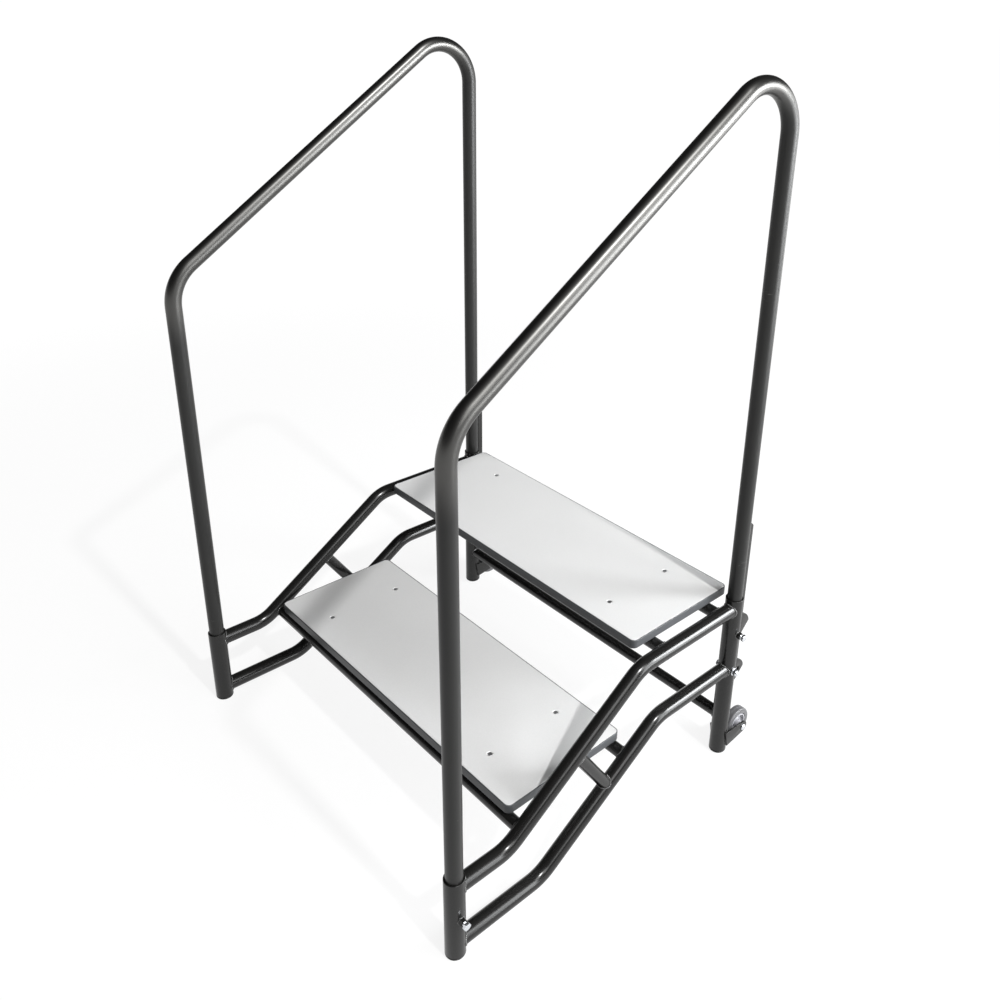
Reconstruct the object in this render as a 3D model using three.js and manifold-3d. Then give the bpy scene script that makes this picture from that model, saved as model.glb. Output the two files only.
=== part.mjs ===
// Two-step stage stairs: a welded tube frame on four legs, two board treads, bolted handrails,
// hook plates for the stage edge and a pair of tip-and-roll wheels behind the rear legs.
// Millimetres. +X is the climber's right, +Y is the way up, +Z is up.
// The origin is the middle of the whole part's outline on the floor.

import * as THREE from 'three';
import { mergeVertices } from 'three/addons/utils/BufferGeometryUtils.js';
import Module from 'manifold-3d';

const wasm = await Module();
wasm.setup();

// Overall frame
const frameWidth = 889;
const frameDepth = 732;
const lowerTreadHeight = 208.2;
const stepRise = 203.2;
const fitGap = 0.3;
const cutOverrun = 30;

// Tubes
const legDiameter = 38.1;
const legWall = 2.75;
const railDiameter = 31.75;
const railWall = 2.1;
const crossbarDiameter = 25.4;
const crossbarWall = 2;
const braceDiameter = 25.4;

// Treads
const treadDepth = 290;
const treadThickness = 19;
const treadCornerRadius = 12;
const treadSideGap = 17;
const edgeBandThickness = 2;
const screwEndInset = 125;
const screwRowSpacing = 170.6;
const strapThickness = 3.2;
const strapWidth = 38;
const strapOverlap = 10;

// Crossbars
const lowerFrontBarSetback = 15;
const lowerTreadNosing = 8.7;
const upperFrontBarSetback = 73.5;
const rearBarHeight = 95;

// Side rails: level runs from the front and the rear leg's axis, with the slope between them
const upperRailFrontRun = 115.6;
const upperRailRearRun = 287.7;
const upperRailFrontDrop = 15.6;
const lowerRailFrontRun = 196.6;
const lowerRailRearRun = 227.9;
const lowerRailRearAboveTread = 17.8;
const lowerRailLegMargin = 5.2;
const railBendRadius = 80;
const bracePlaceShare = 0.5;

// Legs and feet
const frontSocketMargin = 7.7;
const rearSocketMargin = 11;
const footThickness = 6;
const footRounding = 5;
const footPlugLength = 22;

// Handrails
const handrailFrontHeight = 1007;
const handrailRearHeight = 1516;
const handrailFrontBendRadius = 100;
const handrailTopBendRadius = 85;
const boltDepth = 85.5;
const secondBoltSpacing = 96.2;
const postBelowBolt = 23;

// Handrail bolts: set bolts in weld nuts, and a through bolt with a dome nut
const setNutThickness = 8;
const setBoltStandOff = 4;
const setBoltBite = 8;
const boltDiameter = 8;
const boltHoleClearance = 0.5;
const boltHeadThickness = 5.3;
const boltEndPastNut = 2;
const hexAcrossFlats = 13;
const nutThickness = 6.5;
const nutFlangeDiameter = 17;
const nutFlangeThickness = 1.6;
const domeHeight = 4.5;

// Tread screws
const screwShankDiameter = 4.8;
const screwHeadDiameter = 10;
const screwHeadHeight = 2.8;
const screwLength = 30;
const screwPointLength = 5;
const screwHoleClearance = 0.4;
const screwRecessDiameter = 4;
const screwRecessDepth = 1.6;

// Hook plates behind the rear legs
const hookPlateThickness = 6;
const hookSpineDepth = 14;
const hookTopAboveSocket = 171.5;
const hookTopChamfer = 8;
const hookReach = 58;
const hookShoulderRise = 29;
const hookUndersideDrop = 26;
const hookShoulderBulge = 6;
const hookTipHeight = 8;
const upperHookBelowSocket = 84;
const lowerHookBelowSocket = 204.5;
const hookHoleDiameter = 13;
const hookHoleInset = 21;

// Wheels and their brackets
const wheelDiameter = 75;
const wheelWidth = 20;
const wheelFloorGap = 3.5;
const wheelLegGap = 1;
const tyreThickness = 13;
const tyreShoulder = 3;
const hubDiameter = 20;
const hubNoseDiameter = 14;
const hubBoreClearance = 0.1;
const hubSideGap = 0.6;
const wheelWebThickness = 5;
const wheelRimThickness = 3;
const axleDiameter = 8;
const axleHeadDiameter = 14;
const axleHeadThickness = 4;
const axleHeadChamfer = 2;
const cheekThickness = 4;
const cheekFrontReach = 5;
const cheekFrontSlant = 8;
const cheekFrontBottom = 19.5;
const cheekFrontHeight = 39.5;
const cheekEndRadius = 14;

// Facet counts
const tubeSides = 20;
const boreSides = 10;
const smallSides = 12;
const tinySides = 10;
const wheelSides = 32;
const bendStepDegrees = 12;
const cornerSteps = 3;

// Places that follow from the sizes
const legRadius = legDiameter / 2;
const railRadius = railDiameter / 2;
const crossbarRadius = crossbarDiameter / 2;
const halfWidth = frameWidth / 2;
const frontLegY = -frameDepth / 2;
const rearLegY = frameDepth / 2;
const legBottom = footThickness + fitGap;
const socketRadius = legRadius - legWall;

const upperTreadHeight = lowerTreadHeight + stepRise;
const lowerBarHeight = lowerTreadHeight - treadThickness - strapThickness - fitGap - crossbarRadius;
const upperBarHeight = upperTreadHeight - treadThickness - fitGap - crossbarRadius;

const upperRail = {
  frontHeight: lowerBarHeight - upperRailFrontDrop,
  rearHeight: upperBarHeight,
  lowerCornerY: frontLegY + upperRailFrontRun,
  upperCornerY: rearLegY - upperRailRearRun,
};
const lowerRail = {
  frontHeight: legBottom + lowerRailLegMargin + railRadius,
  rearHeight: lowerTreadHeight + lowerRailRearAboveTread,
  lowerCornerY: frontLegY + lowerRailFrontRun,
  upperCornerY: rearLegY - lowerRailRearRun,
};

const frontSocketTop = upperRail.frontHeight + railRadius + frontSocketMargin;
const rearSocketTop = upperRail.rearHeight + railRadius + rearSocketMargin;

const lowerFrontBarY = slopeY(upperRail, lowerBarHeight) + lowerFrontBarSetback;
const lowerRearBarY = slopeY(lowerRail, lowerBarHeight);
const lowerTreadFrontY = lowerFrontBarY - lowerTreadNosing;
const upperFrontBarY = upperRail.upperCornerY + upperFrontBarSetback;
const upperRearBarY = upperFrontBarY + screwRowSpacing;
const upperTreadFrontY = upperFrontBarY - (treadDepth - screwRowSpacing) / 2;

const treadWidth = frameWidth - railDiameter - 2 * treadSideGap;
const screwX = treadWidth / 2 - screwEndInset;

const wheelRadius = wheelDiameter / 2;
const axleHeight = wheelRadius + wheelFloorGap;
const axleY = rearLegY + legRadius + wheelLegGap + wheelRadius;
const cheekInnerOffset = legRadius + fitGap;

const frontBolts = [{ height: frontSocketTop - boltDepth, through: false }];
const rearBolts = [
  { height: rearSocketTop - boltDepth, through: false },
  { height: rearSocketTop - boltDepth - secondBoltSpacing, through: true },
];

// Finishes
const finishes = {
  frame: { color: 0x35352f, roughness: 0.35, metalness: 0.6 },
  handrail: { color: 0x3d3d38, roughness: 0.4, metalness: 0.55 },
  board: { color: 0xd6d6d8, roughness: 0.5, metalness: 0 },
  band: { color: 0x55565a, roughness: 0.5, metalness: 0 },
  zinc: { color: 0xc4c8cc, roughness: 0.3, metalness: 1 },
  foot: { color: 0x1b1b1b, roughness: 0.7, metalness: 0 },
  tyre: { color: 0x9b9aa0, roughness: 0.75, metalness: 0 },
  hub: { color: 0xb9bac0, roughness: 0.45, metalness: 0 },
};

// Height of a rail's sloping run to the place along +Y where it has that height
function slopeY(rail, height) {
  const share = (height - rail.frontHeight) / (rail.rearHeight - rail.frontHeight);
  return rail.lowerCornerY + share * (rail.upperCornerY - rail.lowerCornerY);
}

// A tube's centre line in a plane of constant X: straight runs joined by round bends.
// It has a station at each end of each run and every few degrees round a bend.
class BentLine extends THREE.Curve {
  constructor(start, bends, end) {
    super();
    this.stations = [];
    const corners = [start, ...bends.map((bend) => bend.corner), end];
    this.addStation(start, corners[1].clone().sub(start));
    bends.forEach((bend, index) => this.addBend(corners[index], bend, corners[index + 2]));
    this.addStation(end, end.clone().sub(corners[corners.length - 2]));
  }

  get runs() {
    return this.stations.length - 1;
  }

  addStation(point, tangent) {
    this.stations.push({ point: point.clone(), tangent: tangent.clone().normalize() });
  }

  addBend(before, bend, after) {
    const arriving = bend.corner.clone().sub(before).normalize();
    const leaving = after.clone().sub(bend.corner).normalize();
    const turn = arriving.angleTo(leaving);
    const steps = Math.max(2, Math.round(THREE.MathUtils.radToDeg(turn) / bendStepDegrees));
    const first = bend.corner.clone().addScaledVector(arriving, -bend.radius * Math.tan(turn / 2));
    const side = leaving.clone().addScaledVector(arriving, -leaving.dot(arriving)).normalize();
    const centre = first.clone().addScaledVector(side, bend.radius);
    for (let step = 0; step <= steps; step += 1) {
      const angle = turn * step / steps;
      const point = centre.clone()
        .addScaledVector(arriving, bend.radius * Math.sin(angle))
        .addScaledVector(side, -bend.radius * Math.cos(angle));
      const tangent = arriving.clone().multiplyScalar(Math.cos(angle))
        .addScaledVector(side, Math.sin(angle));
      this.addStation(point, tangent);
    }
  }

  blend(name, t, target) {
    const place = t * this.runs;
    const index = Math.min(Math.floor(place), this.runs - 1);
    return target.lerpVectors(this.stations[index][name], this.stations[index + 1][name], place - index);
  }

  getPoint(t, target = new THREE.Vector3()) {
    return this.blend('point', t, target);
  }

  getTangent(t, target = new THREE.Vector3()) {
    return this.blend('tangent', t, target).normalize();
  }

  getUtoTmapping(u) {
    return u;
  }
}

function circlePoints(radius, sides) {
  return Array.from({ length: sides }, (_, index) => {
    const angle = 2 * Math.PI * index / sides;
    return new THREE.Vector2(radius * Math.cos(angle), radius * Math.sin(angle));
  });
}

function discShape(radius, sides) {
  return new THREE.Shape(circlePoints(radius, sides));
}

function ringShape(outerRadius, innerRadius, outerSides, innerSides) {
  const shape = discShape(outerRadius, outerSides);
  shape.holes.push(new THREE.Path(circlePoints(innerRadius, innerSides)));
  return shape;
}

// A circle's radius grown so that a polygon of that many sides clears the true circle
function clearRadius(radius, sides) {
  return radius / Math.cos(Math.PI / sides);
}

function sweep(shape, line) {
  return new THREE.ExtrudeGeometry(shape, { steps: line.runs, extrudePath: line, bevelEnabled: false });
}

function prism(shape, length) {
  return new THREE.ExtrudeGeometry(shape, { depth: length, bevelEnabled: false, curveSegments: cornerSteps });
}

// A round bar or cutter along X, Y or Z, centred on a point
function roundBar(radius, length, sides, axis = 'z') {
  const bar = prism(discShape(radius, sides), length).translate(0, 0, -length / 2);
  if (axis === 'x') bar.rotateY(Math.PI / 2);
  if (axis === 'y') bar.rotateX(Math.PI / 2);
  return bar;
}

// Outline turned round Z: pairs of radius and height, from the axis back to the axis
function turned(profile, sides) {
  const points = profile.map(([radius, height]) => new THREE.Vector2(radius, height));
  return new THREE.LatheGeometry(points, sides).rotateX(Math.PI / 2);
}

function toSolid(geometry) {
  const bare = geometry.clone();
  Object.keys(bare.attributes).filter((name) => name !== 'position').forEach((name) => bare.deleteAttribute(name));
  const merged = mergeVertices(bare);
  const mesh = new wasm.Mesh({
    numProp: 3,
    vertProperties: new Float32Array(merged.attributes.position.array),
    triVerts: new Uint32Array(merged.index.array),
  });
  return new wasm.Manifold(mesh);
}

function fromSolid(solid) {
  const mesh = solid.getMesh();
  const geometry = new THREE.BufferGeometry();
  geometry.setAttribute('position', new THREE.BufferAttribute(new Float32Array(mesh.vertProperties), 3));
  geometry.setIndex(new THREE.BufferAttribute(new Uint32Array(mesh.triVerts), 1));
  geometry.computeVertexNormals();
  return geometry;
}

function cut(geometry, cutters) {
  return fromSolid(cutters.reduce((solid, cutter) => solid.subtract(toSolid(cutter)), toSolid(geometry)));
}

function join(geometries) {
  return fromSolid(geometries.map(toSolid).reduce((whole, piece) => whole.add(piece)));
}

// The same piece for the other side of the stairs
function mirroredX(geometry) {
  const mirrored = geometry.clone().scale(-1, 1, 1);
  if (!mirrored.index) mirrored.setIndex([...Array(mirrored.attributes.position.count).keys()]);
  const order = mirrored.index.array;
  for (let corner = 0; corner < order.length; corner += 3) {
    [order[corner], order[corner + 1]] = [order[corner + 1], order[corner]];
  }
  return mirrored;
}

function piece(name, geometry, finish) {
  const mesh = new THREE.Mesh(geometry, new THREE.MeshStandardMaterial(finish));
  mesh.name = name;
  return mesh;
}

// A right-hand piece and its mirror image, in one group
function bothSides(name, geometry, finish) {
  const pair = new THREE.Group();
  pair.add(piece(`right_${name}`, geometry, finish));
  pair.add(piece(`left_${name}`, mirroredX(geometry), finish));
  return pair;
}

// Centre lines
function railLine(rail) {
  return new BentLine(
    new THREE.Vector3(halfWidth, frontLegY, rail.frontHeight),
    [
      { corner: new THREE.Vector3(halfWidth, rail.lowerCornerY, rail.frontHeight), radius: railBendRadius },
      { corner: new THREE.Vector3(halfWidth, rail.upperCornerY, rail.rearHeight), radius: railBendRadius },
    ],
    new THREE.Vector3(halfWidth, rearLegY, rail.rearHeight),
  );
}

function handrailLine() {
  const frontEnd = frontBolts[0].height - postBelowBolt;
  const rearEnd = rearBolts[1].height - postBelowBolt;
  return new BentLine(
    new THREE.Vector3(halfWidth, frontLegY, frontEnd),
    [
      { corner: new THREE.Vector3(halfWidth, frontLegY, handrailFrontHeight), radius: handrailFrontBendRadius },
      { corner: new THREE.Vector3(halfWidth, rearLegY, handrailRearHeight), radius: handrailTopBendRadius },
    ],
    new THREE.Vector3(halfWidth, rearLegY, rearEnd),
  );
}

// Cutters shared by neighbours
function railClearance(rail) {
  return sweep(discShape(clearRadius(railRadius + fitGap, tubeSides), tubeSides), railLine(rail));
}

function legClearance(y, top) {
  const radius = clearRadius(legRadius + fitGap, tubeSides);
  return roundBar(radius, top + 2 * cutOverrun, tubeSides).translate(halfWidth, y, top / 2);
}

// A set bolt's hole goes in from the outer side to the axis, a through bolt's right through
function boltHoles(y, bolts) {
  const radius = clearRadius(boltDiameter / 2 + boltHoleClearance, tinySides);
  const outerEnd = legRadius + cutOverrun;
  return bolts.map(({ height, through }) => {
    const innerEnd = through ? -outerEnd : 0;
    return roundBar(radius, outerEnd - innerEnd, tinySides, 'x')
      .translate(halfWidth + (outerEnd + innerEnd) / 2, y, height);
  });
}

function screwPlaces(treadFrontY) {
  const middle = treadFrontY + treadDepth / 2;
  const rows = [middle - screwRowSpacing / 2, middle + screwRowSpacing / 2];
  return rows.flatMap((y) => [-screwX, screwX].map((x) => ({ x, y })));
}

// Frame pieces
function makeLeg(y, top, bolts) {
  const tube = prism(ringShape(legRadius, socketRadius, tubeSides, tubeSides), top - legBottom);
  tube.translate(halfWidth, y, legBottom);
  return cut(tube, boltHoles(y, bolts));
}

function makeFoot(y) {
  const plugRadius = socketRadius - fitGap;
  const rounding = Array.from({ length: cornerSteps + 1 }, (_, step) => {
    const angle = Math.PI / 2 * step / cornerSteps;
    return [
      legRadius - footRounding * (1 - Math.sin(angle)),
      footRounding * (1 - Math.cos(angle)),
    ];
  });
  const profile = [
    [0, 0],
    ...rounding,
    [legRadius, footThickness],
    [plugRadius, footThickness],
    [plugRadius, footThickness + footPlugLength - footRounding],
    [plugRadius - footRounding, footThickness + footPlugLength],
    [0, footThickness + footPlugLength],
  ];
  return turned(profile, tubeSides).translate(halfWidth, y, 0);
}

function makeSideRail(rail) {
  const tube = sweep(ringShape(railRadius, railRadius - railWall, tubeSides, boreSides), railLine(rail));
  return cut(tube, [legClearance(frontLegY, frontSocketTop), legClearance(rearLegY, rearSocketTop)]);
}

// A short tube square across the slope, from the upper rail down to the lower one
function makeBrace() {
  const top = new THREE.Vector3(halfWidth, 0, 0);
  top.y = upperRail.lowerCornerY + bracePlaceShare * (upperRail.upperCornerY - upperRail.lowerCornerY);
  top.z = upperRail.frontHeight + bracePlaceShare * (upperRail.rearHeight - upperRail.frontHeight);
  const upperSlope = new THREE.Vector3(
    0,
    upperRail.upperCornerY - upperRail.lowerCornerY,
    upperRail.rearHeight - upperRail.frontHeight,
  ).normalize();
  const across = new THREE.Vector3(0, upperSlope.z, -upperSlope.y);
  const lowerSlope = new THREE.Vector3(
    0,
    lowerRail.upperCornerY - lowerRail.lowerCornerY,
    lowerRail.rearHeight - lowerRail.frontHeight,
  );
  const lowerNormal = new THREE.Vector3(0, lowerSlope.z, -lowerSlope.y);
  const toLower = new THREE.Vector3(halfWidth, lowerRail.lowerCornerY, lowerRail.frontHeight).sub(top);
  const length = toLower.dot(lowerNormal) / across.dot(lowerNormal);
  const line = new BentLine(top, [], top.clone().addScaledVector(across, length));
  const braceRadius = braceDiameter / 2;
  const tube = sweep(ringShape(braceRadius, braceRadius - crossbarWall, tubeSides, boreSides), line);
  return cut(tube, [railClearance(upperRail), railClearance(lowerRail)]);
}

// A crossbar between the two side frames, coped to what it is welded to
function makeCrossbar(y, height, rightCutter, holes) {
  const length = frameWidth - railRadius;
  const tube = prism(ringShape(crossbarRadius, crossbarRadius - crossbarWall, tubeSides, boreSides), length);
  tube.translate(0, 0, -length / 2).rotateY(Math.PI / 2).translate(0, y, height);
  return cut(tube, [rightCutter, mirroredX(rightCutter), ...holes]);
}

function crossbarScrewHoles(y, height) {
  const radius = clearRadius(screwShankDiameter / 2 + screwHoleClearance, tinySides);
  return [-screwX, screwX].map((x) => roundBar(radius, crossbarDiameter, tinySides)
    .translate(x, y, height + crossbarRadius));
}

function makeStrap() {
  const back = lowerRearBarY + strapOverlap;
  const front = lowerFrontBarY;
  const outline = new THREE.Shape([
    new THREE.Vector2(screwX - strapWidth / 2, front),
    new THREE.Vector2(screwX + strapWidth / 2, front),
    new THREE.Vector2(screwX + strapWidth / 2, back),
    new THREE.Vector2(screwX - strapWidth / 2, back),
  ]);
  const boardBottom = lowerTreadHeight - treadThickness;
  const strap = prism(outline, strapThickness).translate(0, 0, boardBottom - strapThickness);
  const radius = clearRadius(screwShankDiameter / 2 + screwHoleClearance, tinySides);
  const holes = screwPlaces(lowerTreadFrontY)
    .filter((place) => place.x > 0)
    .map((place) => roundBar(radius, cutOverrun, tinySides).translate(place.x, place.y, boardBottom));
  return cut(strap, holes);
}

// Treads
function roundedRectangle(width, depth, radius) {
  const shape = new THREE.Shape();
  const x = width / 2 - radius;
  const y = depth / 2 - radius;
  shape.absarc(x, y, radius, 0, Math.PI / 2);
  shape.absarc(-x, y, radius, Math.PI / 2, Math.PI);
  shape.absarc(-x, -y, radius, Math.PI, 1.5 * Math.PI);
  shape.absarc(x, -y, radius, 1.5 * Math.PI, 2 * Math.PI);
  return shape;
}

function makeBoard(treadFrontY, treadTop) {
  const inset = edgeBandThickness + fitGap;
  const shape = roundedRectangle(
    treadWidth - 2 * inset,
    treadDepth - 2 * inset,
    Math.max(treadCornerRadius - inset, fitGap),
  );
  const board = prism(shape, treadThickness)
    .translate(0, treadFrontY + treadDepth / 2, treadTop - treadThickness);
  const holes = screwPlaces(treadFrontY).map((place) => screwHole().translate(place.x, place.y, treadTop));
  return cut(board, holes);
}

function makeEdgeBand(treadFrontY, treadTop) {
  const shape = roundedRectangle(treadWidth, treadDepth, treadCornerRadius);
  const inner = roundedRectangle(
    treadWidth - 2 * edgeBandThickness,
    treadDepth - 2 * edgeBandThickness,
    Math.max(treadCornerRadius - edgeBandThickness, fitGap),
  );
  shape.holes.push(new THREE.Path(inner.getPoints(cornerSteps)));
  return prism(shape, treadThickness).translate(0, treadFrontY + treadDepth / 2, treadTop - treadThickness);
}

function screwHole() {
  const shank = clearRadius(screwShankDiameter / 2 + screwHoleClearance, tinySides);
  const head = clearRadius(screwHeadDiameter / 2 + screwHoleClearance, tinySides);
  return turned([
    [0, -treadThickness - cutOverrun],
    [shank, -treadThickness - cutOverrun],
    [shank, -screwHeadHeight],
    [head, 0],
    [head, cutOverrun],
    [0, cutOverrun],
  ], tinySides);
}

function makeScrew() {
  const shank = screwShankDiameter / 2;
  const head = screwHeadDiameter / 2;
  const recess = screwRecessDiameter / 2;
  const sunk = screwHoleClearance / 2;
  return turned([
    [0, -screwLength],
    [shank, -screwLength + screwPointLength],
    [shank, -screwHeadHeight - sunk],
    [head, -sunk],
    [recess, -sunk],
    [0, -screwRecessDepth - sunk],
  ], tinySides);
}

// Handrail and its bolts
function makeHandrail() {
  const tube = sweep(
    ringShape(railRadius, railRadius - railWall, tubeSides, boreSides),
    handrailLine(),
  );
  return cut(tube, [...boltHoles(frontLegY, frontBolts), ...boltHoles(rearLegY, rearBolts)]);
}

function hexShape(acrossFlats) {
  return discShape(acrossFlats / Math.sqrt(3), 6);
}

// Through bolt: head on the inner side of the leg, shank out through leg and handrail along +X
function makeThroughBolt() {
  const grip = legDiameter + 2 * fitGap;
  const shankLength = grip + nutFlangeThickness + nutThickness + boltEndPastNut;
  const head = prism(hexShape(hexAcrossFlats), boltHeadThickness).translate(0, 0, -boltHeadThickness);
  const shank = prism(discShape(boltDiameter / 2, smallSides), shankLength + boltHeadThickness / 2)
    .translate(0, 0, -boltHeadThickness / 2);
  return join([head, shank]).rotateY(Math.PI / 2).translate(-legRadius - fitGap, 0, 0);
}

function nutBore(depth) {
  const radius = clearRadius(boltDiameter / 2 + fitGap, smallSides);
  return roundBar(radius, 2 * depth, smallSides);
}

// Set bolt: head clear of the weld nut on the outer side, shank in through nut, leg and post wall
function makeSetBolt() {
  const headBase = legRadius + fitGap + setNutThickness + setBoltStandOff;
  const tip = railRadius - setBoltBite;
  const head = prism(hexShape(hexAcrossFlats), boltHeadThickness).translate(0, 0, headBase);
  const shank = prism(discShape(boltDiameter / 2, smallSides), headBase + boltHeadThickness / 2 - tip)
    .translate(0, 0, tip);
  return join([head, shank]).rotateY(Math.PI / 2);
}

// Weld nut: a hexagon coped to the leg's round side
function makeSetNut() {
  const top = legRadius + fitGap + setNutThickness;
  const body = prism(hexShape(hexAcrossFlats), top - socketRadius).translate(0, 0, socketRadius);
  const bore = nutBore(top + cutOverrun).rotateY(Math.PI / 2);
  const leg = roundBar(clearRadius(legRadius + fitGap, tubeSides), legDiameter, tubeSides);
  return cut(body.rotateY(Math.PI / 2), [bore, leg]);
}

function makeDomeNut() {
  const boltReach = nutFlangeThickness + nutThickness + boltEndPastNut + fitGap;
  const flange = prism(discShape(nutFlangeDiameter / 2, smallSides), nutFlangeThickness);
  const body = prism(hexShape(hexAcrossFlats), nutThickness + nutFlangeThickness);
  const base = nutThickness + nutFlangeThickness - fitGap;
  const domeRadius = hexAcrossFlats / 2;
  const dome = turned([
    [0, base],
    ...Array.from({ length: cornerSteps + 1 }, (_, step) => {
      const angle = Math.PI / 2 * step / cornerSteps;
      const radius = step === cornerSteps ? 0 : domeRadius * Math.cos(angle);
      return [radius, base + fitGap + domeHeight * Math.sin(angle)];
    }),
  ], smallSides);
  const nut = cut(join([flange, body, dome]), [nutBore(boltReach)]);
  return nut.rotateY(Math.PI / 2).translate(legRadius + fitGap, 0, 0);
}

// One upright plate on edge, with two teeth that reach back over the stage's edge.
// Each tooth has a round shoulder, a blunt tip and a straight slanting underside.
function makeHookPlate() {
  const inner = legRadius + fitGap;
  const outer = inner + hookSpineDepth;
  const top = rearSocketTop + hookTopAboveSocket;
  const tips = [upperHookBelowSocket, lowerHookBelowSocket].map((drop) => rearSocketTop - drop);
  const halfTip = hookTipHeight / 2;
  const tipChamfer = halfTip * (hookReach - outer) / (hookUndersideDrop - halfTip);
  const shape = new THREE.Shape();
  shape.moveTo(inner, tips[1] - hookUndersideDrop);
  shape.lineTo(inner, top);
  shape.lineTo(outer - hookTopChamfer, top);
  shape.lineTo(outer, top - hookTopChamfer);
  tips.forEach((height) => {
    const shoulder = new THREE.Vector2(outer, height + hookShoulderRise);
    const nose = new THREE.Vector2(hookReach, height + halfTip);
    const control = shoulder.clone().add(nose).divideScalar(2).addScalar(hookShoulderBulge);
    shape.lineTo(shoulder.x, shoulder.y);
    shape.quadraticCurveTo(control.x, control.y, nose.x, nose.y);
    shape.lineTo(hookReach, height);
    shape.lineTo(hookReach - tipChamfer, height - halfTip);
    shape.lineTo(outer, height - hookUndersideDrop);
  });
  const hole = circlePoints(hookHoleDiameter / 2, smallSides)
    .map((point) => point.add(new THREE.Vector2(hookReach - hookHoleInset, tips[1])));
  shape.holes.push(new THREE.Path(hole));
  const plate = new THREE.ExtrudeGeometry(shape, {
    depth: hookPlateThickness,
    bevelEnabled: false,
    curveSegments: tinySides,
  });
  return standOnEdge(plate, hookPlateThickness).translate(halfWidth, rearLegY, 0);
}

// Turns a flat outline of Y and Z, extruded along Z, so that it stands in the plane of the side frame
function standOnEdge(plate, thickness) {
  plate.translate(0, 0, -thickness / 2);
  plate.applyMatrix4(new THREE.Matrix4().makeBasis(
    new THREE.Vector3(0, 1, 0),
    new THREE.Vector3(0, 0, 1),
    new THREE.Vector3(1, 0, 0),
  ));
  return plate;
}

// Wheel bracket: a tapered cheek from the leg's side back to the axle
function makeCheek(sideOffset) {
  const back = axleY - rearLegY;
  const front = new THREE.Vector2(-cheekFrontReach, cheekFrontBottom + cheekFrontHeight);
  const bottom = new THREE.Vector2(cheekFrontSlant - cheekFrontReach, cheekFrontBottom);
  const axle = new THREE.Vector2(back, axleHeight);
  const upperAngle = tangentAngle(axle, front, cheekEndRadius, 1);
  const lowerAngle = tangentAngle(axle, bottom, cheekEndRadius, -1);
  const shape = new THREE.Shape();
  shape.moveTo(front.x, front.y);
  shape.lineTo(bottom.x, bottom.y);
  shape.absarc(axle.x, axle.y, cheekEndRadius, lowerAngle, upperAngle, false);
  const radius = clearRadius(axleDiameter / 2 + fitGap, smallSides);
  const hole = circlePoints(radius, smallSides).map((point) => point.add(axle));
  shape.holes.push(new THREE.Path(hole));
  const plate = new THREE.ExtrudeGeometry(shape, {
    depth: cheekThickness,
    bevelEnabled: false,
    curveSegments: tinySides,
  });
  return standOnEdge(plate, cheekThickness).translate(halfWidth + sideOffset, rearLegY, 0);
}

// Where the straight edge from a point touches a circle, as an angle round the circle's centre
function tangentAngle(centre, point, radius, side) {
  const toPoint = point.clone().sub(centre);
  const spread = Math.acos(Math.min(1, radius / toPoint.length()));
  return toPoint.angle() - side * spread - (side > 0 ? 0 : 2 * Math.PI);
}

function makeTyre() {
  const inner = wheelRadius - tyreThickness;
  const half = wheelWidth / 2;
  return turned([
    [inner, -half],
    [wheelRadius - tyreShoulder, -half],
    [wheelRadius, -half + tyreShoulder],
    [wheelRadius, half - tyreShoulder],
    [wheelRadius - tyreShoulder, half],
    [inner, half],
    [inner, -half],
  ], wheelSides);
}

function makeHub() {
  const outer = wheelRadius - tyreThickness - fitGap;
  const rimInner = outer - wheelRimThickness;
  const half = wheelWidth / 2;
  const web = wheelWebThickness / 2;
  const boss = hubDiameter / 2;
  const nose = hubNoseDiameter / 2;
  const noseEnd = cheekInnerOffset - hubSideGap;
  const bore = axleDiameter / 2 + hubBoreClearance;
  const upperHalf = [
    [outer, half],
    [rimInner, half],
    [rimInner, web],
    [boss, web],
    [boss, half],
    [nose, noseEnd],
    [bore, noseEnd],
  ];
  const lowerHalf = upperHalf.map(([radius, height]) => [radius, -height]).reverse();
  return turned([...lowerHalf, ...upperHalf, lowerHalf[0]], wheelSides);
}

// Axle pin through both cheeks, with a round head at each end
function makeAxle() {
  const radius = axleDiameter / 2;
  const head = axleHeadDiameter / 2;
  const face = cheekInnerOffset + cheekThickness + fitGap;
  const end = face + axleHeadThickness;
  const upperHalf = [
    [radius, face],
    [head, face],
    [head, end - axleHeadChamfer],
    [head - axleHeadChamfer, end],
    [0, end],
  ];
  const lowerHalf = upperHalf.map(([across, height]) => [across, -height]).reverse();
  return turned([...lowerHalf, ...upperHalf], smallSides);
}

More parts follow.
